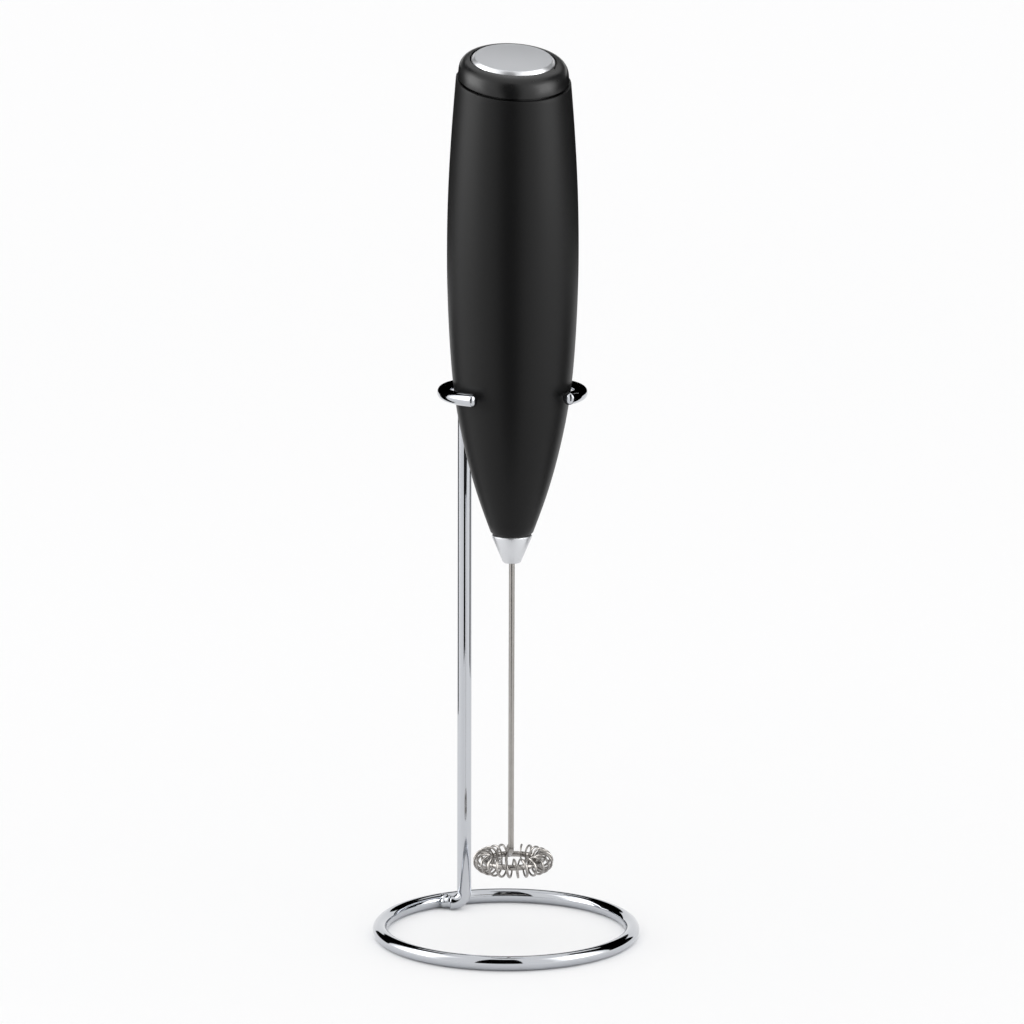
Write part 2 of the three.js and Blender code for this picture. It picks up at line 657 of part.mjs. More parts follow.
function buttonStem() {
  const outline = [
    [0, -STEM_LENGTH], [STEM_RADIUS, -STEM_LENGTH], [STEM_RADIUS, COLLAR_BOTTOM],
    [STEM_COLLAR, COLLAR_BOTTOM], [STEM_COLLAR, -BUTTON_THICKNESS - GAP],
    [STEM_RADIUS, -BUTTON_THICKNESS - GAP], [STEM_RADIUS, SOCKET_TOP - GAP], [0, SOCKET_TOP - GAP],
  ];
  return mesh('button_stem', turned(outline).applyMatrix4(slant), trayBlack);
}

function buttonGroup() {
  const group = new THREE.Group();
  group.add(buttonDisc(), buttonStem());
  return group;
}

// ---------------------------------------------------------------- rotor and whisk

/** The armature: a three-pole stack on the motor's shaft. */
function armature() {
  const bottom = MOTOR_BOTTOM + 5;
  const top = bottom + 13;
  const slots = [0, 120, 240].map((angle) => block([4, -0.8, bottom - 1], [7, 0.8, top + 1])
    .rotateZ(radians(angle)));
  return mesh('armature', built(sleeve(ROTOR_BORE, 5.9, bottom, top, 36), [], slots), laminations);
}

function commutator() {
  return mesh('commutator', sleeve(ROTOR_BORE, 2.4, MOTOR_BOTTOM + 19, MOTOR_BOTTOM + 23), copper);
}

function motorShaft() {
  return mesh('motor_shaft', rod(MOTOR_SHAFT, COUPLING.step + 0.5, END_CAP_BOTTOM + 0.6), motorSteel);
}

/** The coupling grips the motor's shaft from above and the whisk's shaft from below. */
function shaftCoupling() {
  const { radius, bottom, step, top } = COUPLING;
  const outline = [
    [SHAFT + GAP, bottom], [radius, bottom], [radius, top], [ROTOR_BORE, top], [ROTOR_BORE, step],
    [SHAFT + GAP, step],
  ];
  return mesh('shaft_coupling', turned(outline), nylon);
}

/** The whisk's shaft and hoop are one wire: down the axis, out along a short spoke, and round. */
function whiskShaft() {
  const start = radians(HOOP_START);
  const out = new THREE.Vector3(Math.cos(start), Math.sin(start), 0);
  const along = new THREE.Vector3(-Math.sin(start), Math.cos(start), 0);
  const spokeTop = WHISK_HEIGHT + SPOKE_RISE;
  const spokeEnd = new THREE.Vector3(WHISK_SHIFT, 0, WHISK_HEIGHT)
    .addScaledVector(out, HOOP_RADIUS - SPOKE_CORNER).addScaledVector(along, -SPOKE_CORNER);
  const knee = new THREE.QuadraticBezierCurve3(
    new THREE.Vector3(0, 0, spokeTop + 1.3), new THREE.Vector3(0, 0, spokeTop),
    new THREE.Vector3(0, 0, spokeTop).lerp(spokeEnd, 0.3)).getPoints(6);
  const turn = arc(spokeEnd.clone().addScaledVector(along, SPOKE_CORNER), SPOKE_CORNER,
    along.clone().negate(), out, Math.PI / 2, 5);
  const hoop = levelArc(
    WHISK_SHIFT, 0, WHISK_HEIGHT, HOOP_RADIUS, HOOP_START, HOOP_START + HOOP_SPAN, 36).slice(1);
  const path = [new THREE.Vector3(0, 0, SHAFT_TOP), ...knee, ...turn, ...hoop];
  return mesh('whisk_shaft', wire(path, SHAFT, 8), stainless);
}

/** The whisk's coil: a fine spring threaded round the hoop. */
function whiskCoil() {
  const stepsPerTurn = 9;
  const steps = COIL_TURNS * stepsPerTurn;
  const path = Array.from({ length: steps + 1 }, (_, i) => {
    const place = radians(COIL_START + COIL_SPAN * i / steps);
    const turn = 2 * Math.PI * i / stepsPerTurn;
    const radius = COIL_RING + COIL_RADIUS * Math.cos(turn);
    return new THREE.Vector3(WHISK_SHIFT + radius * Math.cos(place), radius * Math.sin(place),
      WHISK_HEIGHT + COIL_RADIUS * Math.sin(turn));
  });
  return mesh('whisk_coil', wire(path, COIL_WIRE / 2, 4), stainless);
}

function rotorGroup() {
  const group = new THREE.Group();
  group.add(armature(), commutator(), motorShaft(), shaftCoupling(), whiskShaft(), whiskCoil());
  return group;
}

// ---------------------------------------------------------------- the whole object

const frother = new THREE.Group();
frother.position.set(HANDLE_AXIS.x, HANDLE_AXIS.y, 0);
frother.add(handleGroup(), capGroup(), buttonGroup(), rotorGroup());

const stand = new THREE.Group();
stand.add(baseRing(), standPost(), clipRing());

const milkFrother = new THREE.Group();
milkFrother.add(stand, frother);

export default milkFrother;
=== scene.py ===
# %% [markdown]
# # A milk frother in its wire stand
# The frother is a matt black handle with a glossy cap, a silver button and nose, and a fine steel whisk.
# It hangs in a stand that is bent from chromed wire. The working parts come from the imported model, which
# is the frame here: every new piece takes its size and place from the node that it stands for.

# %% Load the frame
import json
import math

import bmesh
import bpy
from mathutils import Matrix, Vector


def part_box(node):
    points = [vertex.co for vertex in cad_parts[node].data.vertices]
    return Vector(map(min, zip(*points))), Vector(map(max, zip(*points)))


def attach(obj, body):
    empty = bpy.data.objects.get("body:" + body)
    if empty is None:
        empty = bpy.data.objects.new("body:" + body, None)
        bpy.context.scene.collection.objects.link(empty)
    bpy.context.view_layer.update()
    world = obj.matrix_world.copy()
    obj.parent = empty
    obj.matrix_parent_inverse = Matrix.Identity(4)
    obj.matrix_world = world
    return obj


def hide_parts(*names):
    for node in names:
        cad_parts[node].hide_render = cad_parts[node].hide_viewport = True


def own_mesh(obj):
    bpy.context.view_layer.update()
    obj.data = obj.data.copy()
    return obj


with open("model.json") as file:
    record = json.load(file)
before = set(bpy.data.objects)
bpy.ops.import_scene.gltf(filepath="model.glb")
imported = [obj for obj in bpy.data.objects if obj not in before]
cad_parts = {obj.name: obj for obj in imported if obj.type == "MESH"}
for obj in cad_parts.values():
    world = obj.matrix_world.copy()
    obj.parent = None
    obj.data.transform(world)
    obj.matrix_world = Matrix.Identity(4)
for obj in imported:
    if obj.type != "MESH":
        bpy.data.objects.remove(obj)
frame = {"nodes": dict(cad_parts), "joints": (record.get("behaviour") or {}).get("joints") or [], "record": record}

MM = 0.001
UP = Vector((0, 0, 1))
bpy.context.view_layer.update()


# %% [markdown]
# ## Measuring the frame
# The main places could be typed in again as numbers, but then they would drift away from the frame.
# Measuring the nodes keeps both the same. The handle is round about an upright axis, so the middle of its
# box gives that axis. The cap's top slants, and the button's joint says along which direction.

# %% Measure the axis and the slant
def middle(node):
    """The centre of a node's box."""
    low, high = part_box(node)
    return (low + high) / 2


def width(node):
    """A node's size along X."""
    low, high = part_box(node)
    return high.x - low.x


def highest_along(node, direction):
    """How far a node's vertices reach along a direction."""
    return max(direction.dot(vertex.co) for vertex in frame["nodes"][node].data.vertices)


AXIS = Vector((middle("handle_shell").x, middle("handle_shell").y, 0))
press = next(joint for joint in frame["joints"] if joint["name"] == "button_press")
SLANT = -Vector(press["axis"]).normalized()
SEAM = highest_along("handle_shell", SLANT)
RIM = highest_along("top_cap", SLANT)
FACE = highest_along("button_disc", SLANT)


def on_axis(level):
    """Where a slanted plane at a level along the slant crosses the frother's axis."""
    return Vector((AXIS.x, AXIS.y, (level - SLANT.dot(AXIS)) / SLANT.z))


print("axis", AXIS, "seam", on_axis(SEAM), "button face", on_axis(FACE))


# %% [markdown]
# ## Camera
# A long lens keeps the tall, thin object free of distortion. The camera stands well back, a little above
# the object and a little to its left, and aims at the frother's axis just below half height.

# %% Make the camera
AIM_HEIGHT = 114.6 * MM
DISTANCE = 1139.5 * MM
AZIMUTH = math.radians(-10)
ELEVATION = math.radians(10.2)
ROLL = math.radians(0.18)
back_to_camera = Vector((
    math.sin(AZIMUTH) * math.cos(ELEVATION), -math.cos(AZIMUTH) * math.cos(ELEVATION), math.sin(ELEVATION)))

bpy.ops.object.select_all(action="DESELECT")
bpy.ops.object.camera_add(location=AXIS + UP * AIM_HEIGHT + back_to_camera * DISTANCE)
camera = bpy.context.object
camera.data.lens = 154.7
camera.data.sensor_width = 36
camera.rotation_euler = (
    (-back_to_camera).to_track_quat("-Z", "Y").to_matrix() @ Matrix.Rotation(ROLL, 3, "Z")).to_euler()
bpy.context.scene.camera = camera
print("camera at", camera.location)


# %% [markdown]
# ## Floor and light
# The object stands on a white sweep in even light, which gives soft grey contact shadows. Polished wire
# shows only what it reflects, so it needs something dark to draw its edges: black cards do that. Black
# plastic is the opposite, and needs bright panels at its sides. Lamps could make these reflections, but
# they would also brighten the floor. Cards that only reflections see leave the floor even. An upright wire
# mirrors what is level with it or lower, so some of the black cards hang close by and reach down.

# %% Lay the floor and light it
WHITE = (1, 1, 1, 1)


def emission(name, colour, strength):
    """A plain glowing or black finish for the studio."""
    material = bpy.data.materials.new(name)
    material.use_nodes = True
    shader = material.node_tree.nodes["Principled BSDF"]
    shader.inputs["Base Color"].default_value = (0, 0, 0, 1)
    shader.inputs["Specular IOR Level"].default_value = 0
    shader.inputs["Emission Color"].default_value = colour
    shader.inputs["Emission Strength"].default_value = strength
    return material


bpy.context.scene.view_settings.view_transform = "Standard"
world = bpy.data.worlds.new("even_light")
bpy.context.scene.world = world
world.use_nodes = True
sky = world.node_tree.nodes["Background"].inputs
sky["Color"].default_value = WHITE
sky["Strength"].default_value = 1.03

bpy.ops.mesh.primitive_circle_add(vertices=64, radius=12, fill_type="NGON", location=(0, 0, 0))
floor = bpy.context.object
floor.name = "floor"
paper = bpy.data.materials.new("white_paper")
paper.use_nodes = True
surface = paper.node_tree.nodes["Principled BSDF"].inputs
surface["Base Color"].default_value = (0.955, 0.955, 0.958, 1)
surface["Roughness"].default_value = 0.9
surface["Specular IOR Level"].default_value = 0.1
floor.data.materials.append(paper)
print("floor and sky ready")


# %% Hang the cards that only reflections see
STUDIO_RADIUS = 1.6
PANEL_RADIUS = 1.5
NEAR = 0.17
BEHIND = 0.3
CARD_STEPS = 12
card_black = emission("card_black", (0, 0, 0, 1), 0)


def card(name, azimuths, elevations, finish, radius=STUDIO_RADIUS):
    """A piece of a sphere round the object. Azimuths are from the camera's side, rightwards."""
    corners = []
    for i in range(CARD_STEPS + 1):
        for j in range(CARD_STEPS + 1):
            turn = AZIMUTH + math.radians(azimuths[0] + (azimuths[1] - azimuths[0]) * i / CARD_STEPS)
            rise = math.radians(elevations[0] + (elevations[1] - elevations[0]) * j / CARD_STEPS)
            way = Vector((math.sin(turn) * math.cos(rise), -math.cos(turn) * math.cos(rise), math.sin(rise)))
            corners.append(AXIS + UP * AIM_HEIGHT + way * radius)
    row = CARD_STEPS + 1
    faces = [(i * row + j, i * row + j + 1, (i + 1) * row + j + 1, (i + 1) * row + j)
             for i in range(CARD_STEPS) for j in range(CARD_STEPS)]
    mesh = bpy.data.meshes.new(name)
    mesh.from_pydata(corners, [], faces)
    piece = bpy.data.objects.new(name, mesh)
    bpy.context.scene.collection.objects.link(piece)
    mesh.materials.append(finish)
    piece.visible_camera = False
    piece.visible_diffuse = False
    piece.visible_shadow = False
    piece.visible_transmission = False


card("front_flag", (-26, 14), (2, 70), card_black)
card("front_near_flag", (-20, 12), (-30, 42), card_black, NEAR)
card("right_flag", (97, 138), (-3, 60), card_black)
card("right_near_flag", (100, 128), (-30, 10), card_black, NEAR)
card("left_flag", (-150, -115), (-3, 60), card_black)
card("left_near_flag", (-140, -116), (-30, 10), card_black, NEAR)
card("rear_near_flag", (118, 242), (4, 30), card_black, BEHIND)
card("rear_flag", (140, 220), (24, 40), card_black)

GLOWS = (1.15, 1.3, 1.5, 1.8, 2.4, 3.3, 4.5)
for side, low_turn, high_turn in (("left", -118, -56), ("right", 40, 98)):
    for step, strength in enumerate(GLOWS):
        glow = emission(f"{side}_glow_{step}", WHITE, strength)
        turns = (low_turn + 2.5 * step, high_turn - 2.5 * step)
        card(f"{side}_panel_{step}", turns, (-6 + 2 * step, 62 - 3 * step), glow, PANEL_RADIUS - 0.01 * step)


# %% [markdown]
# ## Shader sums
# Finishes are worked out from a few patterns. Wiring Math nodes by hand hides the sum that they make, so
# a small class lets the sum be written as Python: adding two of its values adds a Math node. Any other
# node comes from one method, which sets the node's settings first and then its sockets.

# %% Define the shader values
class Value:
    """A number that varies over a surface, as a socket in a finish's node tree."""

    def __init__(self, finish, socket):
        self.finish = finish
        self.socket = socket

    def math(self, operation, first, second):
        """Adds one Math node on two values."""
        return self.finish.node("ShaderNodeMath", {"operation": operation}, {0: first, 1: second})["Value"]

    def __add__(self, other):
        return self.math("ADD", self, other)

    def __sub__(self, other):
        return self.math("SUBTRACT", self, other)

    def __rsub__(self, other):
        return self.math("SUBTRACT", other, self)

    def __mul__(self, other):
        return self.math("MULTIPLY", self, other)

    __radd__ = __add__
    __rmul__ = __mul__


class Finish:
    """A material while it is being made: its tree, its shader, and the place on the object."""

    def __init__(self, name, colour, roughness, **constants):
        self.material = bpy.data.materials.new(name)
        self.material.use_nodes = True
        self.tree = self.material.node_tree
        self.shader = self.tree.nodes["Principled BSDF"]
        self.colour = (*colour, 1)
        self.shader.inputs["Base Color"].default_value = self.colour
        self.shader.inputs["Roughness"].default_value = roughness
        for socket, value in constants.items():
            self.shader.inputs[socket.replace("_", " ")].default_value = value
        self.place = self.node("ShaderNodeTexCoord", {}, {})["Object"]

    def node(self, kind, settings, inputs):
        """Adds a node, sets it up, feeds it, and returns its outputs by name."""
        node = self.tree.nodes.new(kind)
        for setting, value in settings.items():
            setattr(node, setting, value)
        for key, value in inputs.items():
            socket = node.inputs[key]
            if isinstance(key, str):
                socket = next(s for s in node.inputs if s.enabled and s.name == key)
            if isinstance(value, Value):
                self.tree.links.new(value.socket, socket)
            else:
                socket.default_value = value
        return {socket.name: Value(self, socket) for socket in node.outputs if socket.enabled}

    def grain(self, size, detail=3.0, stretch=(1, 1, 1)):
        """Noise from 0 to 1 whose features are about one size, stretched along an axis if asked."""
        scaled = self.node("ShaderNodeMapping", {}, {"Vector": self.place, "Scale": stretch})["Vector"]
        noise = self.node("ShaderNodeTexNoise", {}, {"Vector": scaled, "Scale": 1 / size, "Detail": detail})
        return noise["Fac"]

    def tint(self, share, other):
        """Turns the base colour towards another one by a varying share."""
        mixed = self.node("ShaderNodeMix", {"data_type": "RGBA"},
                          {"Factor": share, "A": self.colour, "B": (*other, 1)})["Result"]
        self.tree.links.new(mixed.socket, self.shader.inputs["Base Color"])
        return self

    def polish(self, roughness):
        """Drives the roughness."""
        self.tree.links.new(roughness.socket, self.shader.inputs["Roughness"])
        return self

    def relief(self, height, depth):
        """Raises the surface by a height from 0 to 1 times a depth, as bump."""
        bump = self.node("ShaderNodeBump", {}, {"Height": height, "Distance": depth, "Strength": 1.0})
        self.tree.links.new(bump["Normal"].socket, self.shader.inputs["Normal"])
        return self


print("shader sums ready")


# %% [markdown]
# ## Finishes that show
# Chrome is almost a mirror; a faint cloudiness and a slow waviness keep it from looking computed. The
# handle has a soft-touch coat: black, with a fine grain and hardly any shine, so most of its light comes
# from the side panels. The cap is the same black, polished. The button is blasted metal with a bright cut
# edge, and the whisk's wire shows lines along it from the die that it was drawn through.

# %% Make the finishes that show
chrome = Finish("bright_chrome", (0.54, 0.555, 0.585), 0.05, Metallic=1.0)
cloud = chrome.grain(6 * MM, 2)
chrome.polish(0.035 + cloud * 0.05)
chrome.tint(cloud * 0.25, (0.47, 0.485, 0.515))
chrome.relief(chrome.grain(9 * MM, 1), 0.02 * MM)

soft_black = Finish("soft_touch", (0.0022, 0.0022, 0.0024), 0.4, Specular_IOR_Level=0.2)
touch = soft_black.grain(0.12 * MM, 2)
soft_black.tint(soft_black.grain(14 * MM, 3) * 0.6, (0.0036, 0.0036, 0.0039))
soft_black.polish(0.34 + touch * 0.1)
soft_black.relief(touch, 0.006 * MM)

gloss_black = Finish("polished_black", (0.003, 0.003, 0.0033), 0.3, Specular_IOR_Level=0.4)
peel = gloss_black.grain(1.5 * MM, 2)
gloss_black.polish(0.25 + peel * 0.08)
gloss_black.relief(peel, 0.004 * MM)

satin_silver = Finish("blasted_silver", (0.58, 0.59, 0.61), 0.4, Metallic=1.0)
blast = satin_silver.grain(0.15 * MM, 3)
satin_silver.polish(0.32 + blast * 0.14)
satin_silver.tint(blast * 0.5, (0.52, 0.53, 0.55))
satin_silver.relief(blast, 0.006 * MM)

bright_edge = Finish("bright_edge", (0.78, 0.79, 0.81), 0.2, Metallic=1.0)
bright_edge.polish(0.28 + bright_edge.grain(0.8 * MM, 2) * 0.06)

cone_silver = Finish("turned_silver", (0.62, 0.63, 0.65), 0.2, Metallic=1.0)
turning = cone_silver.grain(0.2 * MM, 3, (0.05, 0.05, 1))
cone_silver.polish(0.3 + turning * 0.12)
cone_silver.relief(turning, 0.003 * MM)

stainless = Finish("drawn_steel", (0.38, 0.365, 0.35), 0.25, Metallic=1.0)
drawn = stainless.grain(0.12 * MM, 3, (1, 1, 0.03))
stainless.polish(0.16 + drawn * 0.2)
stainless.tint(stainless.grain(1.2 * MM, 3) * 0.6, (0.26, 0.245, 0.23))
stainless.relief(drawn, 0.004 * MM)
print("finishes", [f.material.name for f in (chrome, soft_black, gloss_black, satin_silver, stainless)])


# %% [markdown]
# ## Finishes inside
# The pieces inside show only when the cap is pulled, but each is still made of something. One loop makes
# them: every finish has its own colour, roughness and grain, and the same small recipe of mottled colour,
# uneven polish and fine relief suits moulded plastic, sheet metal, springs and insulation alike.

# %% Make the finishes inside
INSIDE = {
    "black_rubber": ((0.010, 0.010, 0.010), 0.75, 0.0, 0.3),
    "bronze": ((0.55, 0.40, 0.18), 0.32, 1.0, 0.4),
    "inner_black": ((0.020, 0.020, 0.022), 0.50, 0.0, 0.3),
    "motor_steel": ((0.50, 0.51, 0.52), 0.35, 1.0, 0.8),
    "ferrite": ((0.040, 0.040, 0.045), 0.70, 0.0, 0.2),
    "white_nylon": ((0.75, 0.74, 0.68), 0.48, 0.0, 0.5),
    "spring_steel": ((0.55, 0.56, 0.57), 0.25, 1.0, 0.2),
    "cell_wrap": ((0.050, 0.120, 0.075), 0.32, 0.0, 2.0),
    "copper": ((0.60, 0.28, 0.12), 0.35, 1.0, 0.2),
    "lead_red": ((0.400, 0.020, 0.015), 0.50, 0.0, 0.3),
    "lead_black": ((0.010, 0.010, 0.010), 0.50, 0.0, 0.3),
}
inside = {}
for slot, (colour, roughness, metallic, grain_size) in INSIDE.items():
    finish = Finish("inside_" + slot, colour, roughness, Metallic=metallic)
    mottle = finish.grain(grain_size * MM)
    finish.tint(mottle * 0.5, tuple(part * 0.75 for part in colour))
    finish.polish(roughness - 0.06 + mottle * 0.12)
    finish.relief(mottle, 0.004 * MM)
    inside[slot] = finish.material
print("inside finishes", len(inside))


# %% [markdown]
# ## Shaping helpers
# Most pieces here are turned or bent from wire. A turned piece starts as a ring of edges that is extruded
# up and widened or narrowed, ring by ring, as it would be on a lathe. A bent piece starts as the wire's
# round section: a straight is an extrusion and a bend is a spin round a pin, as on a wire jig.

# %% Define the shaping helpers
def opened(name):
    """Names the new primitive, puts its place into its mesh, and opens it with everything selected."""
    piece = bpy.context.object
    piece.name = name
    piece.data.name = name
    bpy.ops.object.transform_apply(location=True, rotation=True, scale=True)
    bpy.ops.object.mode_set(mode="EDIT")
    bpy.ops.mesh.select_mode(type="VERT")
    bpy.ops.mesh.select_all(action="SELECT")
    return piece


def choose(piece, kind, test):
    """Selects the vertices, edges or faces that pass a test on their middle and themselves."""
    bpy.ops.mesh.select_mode(type=kind)
    bpy.ops.mesh.select_all(action="DESELECT")
    mesh = bmesh.from_edit_mesh(piece.data)
    for part in {"VERT": mesh.verts, "EDGE": mesh.edges, "FACE": mesh.faces}[kind]:
        if kind == "VERT":
            centre = part.co
        else:
            centre = sum((v.co for v in part.verts), Vector()) / len(part.verts)
        if test(centre, part):
            part.select_set(True)
    mesh.select_flush_mode()
    bmesh.update_edit_mesh(piece.data)


def sealed():
    """Closes open ends, merges what coincides and turns every face outwards."""
    bpy.ops.mesh.select_mode(type="VERT")
    bpy.ops.mesh.select_all(action="SELECT")
    bpy.ops.mesh.remove_doubles(threshold=0.002 * MM)
    bpy.ops.mesh.fill_holes(sides=0)
    bpy.ops.mesh.normals_make_consistent(inside=False)


def rounded(width_of_bevel, segments=3, sharpness=35):
    """Bevels every sharp edge."""
    bpy.ops.mesh.select_mode(type="EDGE")
    bpy.ops.mesh.select_all(action="DESELECT")
    bpy.ops.mesh.edges_select_sharp(sharpness=math.radians(sharpness))
    bpy.ops.mesh.bevel(offset=width_of_bevel, segments=segments, profile=0.5, affect="EDGES")


def modified(piece, kind, **settings):
    """Adds a modifier to a piece in object mode and applies it."""
    modifier = piece.modifiers.new(kind.lower(), kind)
    for setting, value in settings.items():
        setattr(modifier, setting, value)
    bpy.context.view_layer.objects.active = piece
    bpy.ops.object.modifier_apply(modifier=modifier.name)


def placed(piece, body, slot, material, *nodes, smooth=32):
    """Finishes a piece: smooth shading, its material, its body, and the nodes that it stands for."""
    if bpy.context.mode != "OBJECT":
        bpy.ops.object.mode_set(mode="OBJECT")
    bpy.ops.object.select_all(action="DESELECT")
    piece.select_set(True)
    bpy.context.view_layer.objects.active = piece
    bpy.ops.object.shade_smooth_by_angle(angle=math.radians(smooth))
    if not piece.data.materials:
        piece.data.materials.append(material)
    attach(piece, body)
    if nodes:
        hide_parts(*nodes)
    print(piece.name, "faces", len(piece.data.polygons))
    return piece


def turned(name, outline, centre=AXIS, corners=64, edge=0.0):
    """Turns a [radius, height] outline ring by ring about an upright line. Heights are in the row frame."""
    bpy.ops.object.select_all(action="DESELECT")
    radius, height = outline[0]
    foot = Vector((centre.x, centre.y, height))
    bpy.ops.mesh.primitive_circle_add(vertices=corners, radius=radius, location=foot)
    piece = opened(name)
    for next_radius, next_height in outline[1:]:
        step = Vector((0, 0, next_height - height))
        bpy.ops.mesh.extrude_region_move(TRANSFORM_OT_translate={"value": step})
        factor = next_radius / radius
        bpy.ops.transform.resize(value=(factor, factor, 1), center_override=foot)
        radius, height = next_radius, next_height
    sealed()
    if edge:
        rounded(edge)
    bpy.ops.object.mode_set(mode="OBJECT")
    return piece


class Wire:
    """A round wire on a bending jig: it keeps its tip and its direction while it is fed and bent."""

    def __init__(self, name, start, way, radius, sides=32):
        bpy.ops.object.select_all(action="DESELECT")
        self.tip = Vector(start)
        self.way = Vector(way).normalized()
        across = self.way.to_track_quat("Z", "Y").to_euler()
        bpy.ops.mesh.primitive_circle_add(vertices=sides, radius=radius, location=self.tip, rotation=across)
        self.piece = opened(name)

    def straight(self, length):
        """Feeds the wire straight on."""
        bpy.ops.mesh.extrude_region_move(TRANSFORM_OT_translate={"value": self.way * length})
        self.tip += self.way * length
        return self

    def bend(self, towards, radius, angle, steps):
        """Bends the wire by an angle round a pin that stands on the side that it turns towards."""
        side = (Vector(towards) - self.way * self.way.dot(Vector(towards))).normalized()
        pin = self.tip + side * radius
        hinge = self.way.cross(side).normalized()
        bpy.ops.mesh.spin(steps=steps, angle=-angle, center=pin, axis=hinge)
        turn = Matrix.Rotation(angle, 3, hinge)
        self.tip = pin + turn @ (self.tip - pin)
        self.way = turn @ self.way
        return self

    def cut(self, edge, segments=3):
        """Cuts the wire off, closes its ends and rounds their edges."""
        sealed()
        if edge:
            rounded(edge, segments, sharpness=50)
        bpy.ops.object.mode_set(mode="OBJECT")
        return self.piece


print("helpers ready")


# %% [markdown]
# ## Base ring
# The stand rests on a closed ring of wire. A torus primitive would do for the shape, but bending the wire
# round a pin leaves a real start and end, where the two ends are butt-welded and dressed flush. The pin is
# the ring's centre, and the ring's own node gives the wire's thickness and the ring's radius.

# %% Bend the base ring
low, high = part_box("base_ring")
WIRE_RADIUS = (high.z - low.z) / 2
RING_RADIUS = (high.x - low.x) / 2 - WIRE_RADIUS
ring_centre = middle("base_ring")
ring = Wire("base_ring_wire", ring_centre + Vector((0, RING_RADIUS, 0)), (-1, 0, 0), WIRE_RADIUS, 40)
ring.bend((0, -1, 0), RING_RADIUS, math.tau, 160)
base_ring = placed(ring.cut(0), "stand", "chrome_wire", chrome.material, "base_ring")


# %% [markdown]
# ## Post
# The post is one wire: a foot that curves out of the ring, a long straight, and a bend into the arm that
# holds the clip. Its place is read from the vertices where the node's straight begins, because the box of
# the whole node also takes in the arm and the foot.

# %% Bend the post
def section(node, low_height, high_height):
    """The middle of the node's vertices between two heights."""
    found = [v.co for v in frame["nodes"][node].data.vertices if low_height < v.co.z < high_height]
    return sum(found, Vector()) / len(found)


FOOT_BEND = 3.2 * MM
FOOT_LENGTH = 0.6 * MM
ARM_BEND = 8 * MM
foot_end = section("stand_post", 4.5 * MM, 5.5 * MM)
clip_low, clip_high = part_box("clip_ring")
CLIP_WIRE_RADIUS = (clip_high.z - clip_low.z) / 2
CLIP_RADIUS = (clip_high.x - clip_low.x) / 2 - CLIP_WIRE_RADIUS
clip_centre = Vector((AXIS.x, AXIS.y, middle("clip_ring").z))
foot_tip = section("stand_post", 0, WIRE_RADIUS) - foot_end
foot_way = Vector((foot_tip.x, foot_tip.y, 0)).normalized()
arm_way = clip_centre - Vector((foot_end.x, foot_end.y, clip_centre.z))
arm_reach = arm_way.length - CLIP_RADIUS - CLIP_WIRE_RADIUS
arm_way.normalize()
post_axis = Vector((foot_end.x, foot_end.y, 0))
foot_low = post_axis + foot_way * FOOT_BEND + UP * (WIRE_RADIUS + 0.05 * MM)
post = Wire("post_wire", foot_low + foot_way * FOOT_LENGTH, -foot_way, WIRE_RADIUS, 40)
post.straight(FOOT_LENGTH)
post.bend(UP, FOOT_BEND, math.pi / 2, 12)
post.straight(clip_centre.z - ARM_BEND - post.tip.z)
post.bend(arm_way, ARM_BEND, math.pi / 2, 20)
post.straight(arm_reach - ARM_BEND)
stand_post = placed(post.cut(0.3 * MM), "stand", "chrome_wire", chrome.material, "stand_post")
print("post from", foot_low, "to", post.tip)


# %% [markdown]
# ## Clip
# The clip is most of a ring, with its opening towards the front, so that the handle drops in from above and
# can also be pushed out. Its ends are sawn off and tumbled round, so that they don't scratch the handle.

# %% Bend the clip
clip_ways = [v.co - clip_centre for v in frame["nodes"]["clip_ring"].data.vertices]
clip_gap = min(math.atan2(abs(way.x), -way.y) for way in clip_ways)
start = clip_centre + Vector((math.sin(clip_gap), -math.cos(clip_gap), 0)) * CLIP_RADIUS
way = Vector((math.cos(clip_gap), math.sin(clip_gap), 0))
clip = Wire("clip_wire", start, way, CLIP_WIRE_RADIUS, 40)
clip.bend(clip_centre - start, CLIP_RADIUS, math.tau - 2 * clip_gap, 120)
CLIP_END_ROUND = 1.15 * MM
clip_ring = placed(clip.cut(CLIP_END_ROUND, 6), "stand", "chrome_wire", chrome.material, "clip_ring")


# %% [markdown]
# ## Welds
# The foot is welded to the ring and the arm to the clip. A weld is a small frozen puddle: a row of balls is
# merged into one skin by a voxel remesh, which blends them where they meet, and smoothing settles it.

# %% Make the weld beads
def bead(name, balls):
    """One skin over a row of (centre, radius) balls."""
    bpy.ops.object.select_all(action="DESELECT")
    made = []
    for centre, radius in balls:
        bpy.ops.mesh.primitive_ico_sphere_add(subdivisions=3, radius=radius, location=centre)
        made.append(bpy.context.object)
    for ball in made:
        ball.select_set(True)
    bpy.ops.object.join()
    piece = bpy.context.object
    piece.name = name
    bpy.ops.object.transform_apply(location=True, rotation=True, scale=True)
    modified(piece, "REMESH", mode="VOXEL", voxel_size=0.16 * MM)
    modified(piece, "SMOOTH", factor=0.5, iterations=12)
    return piece


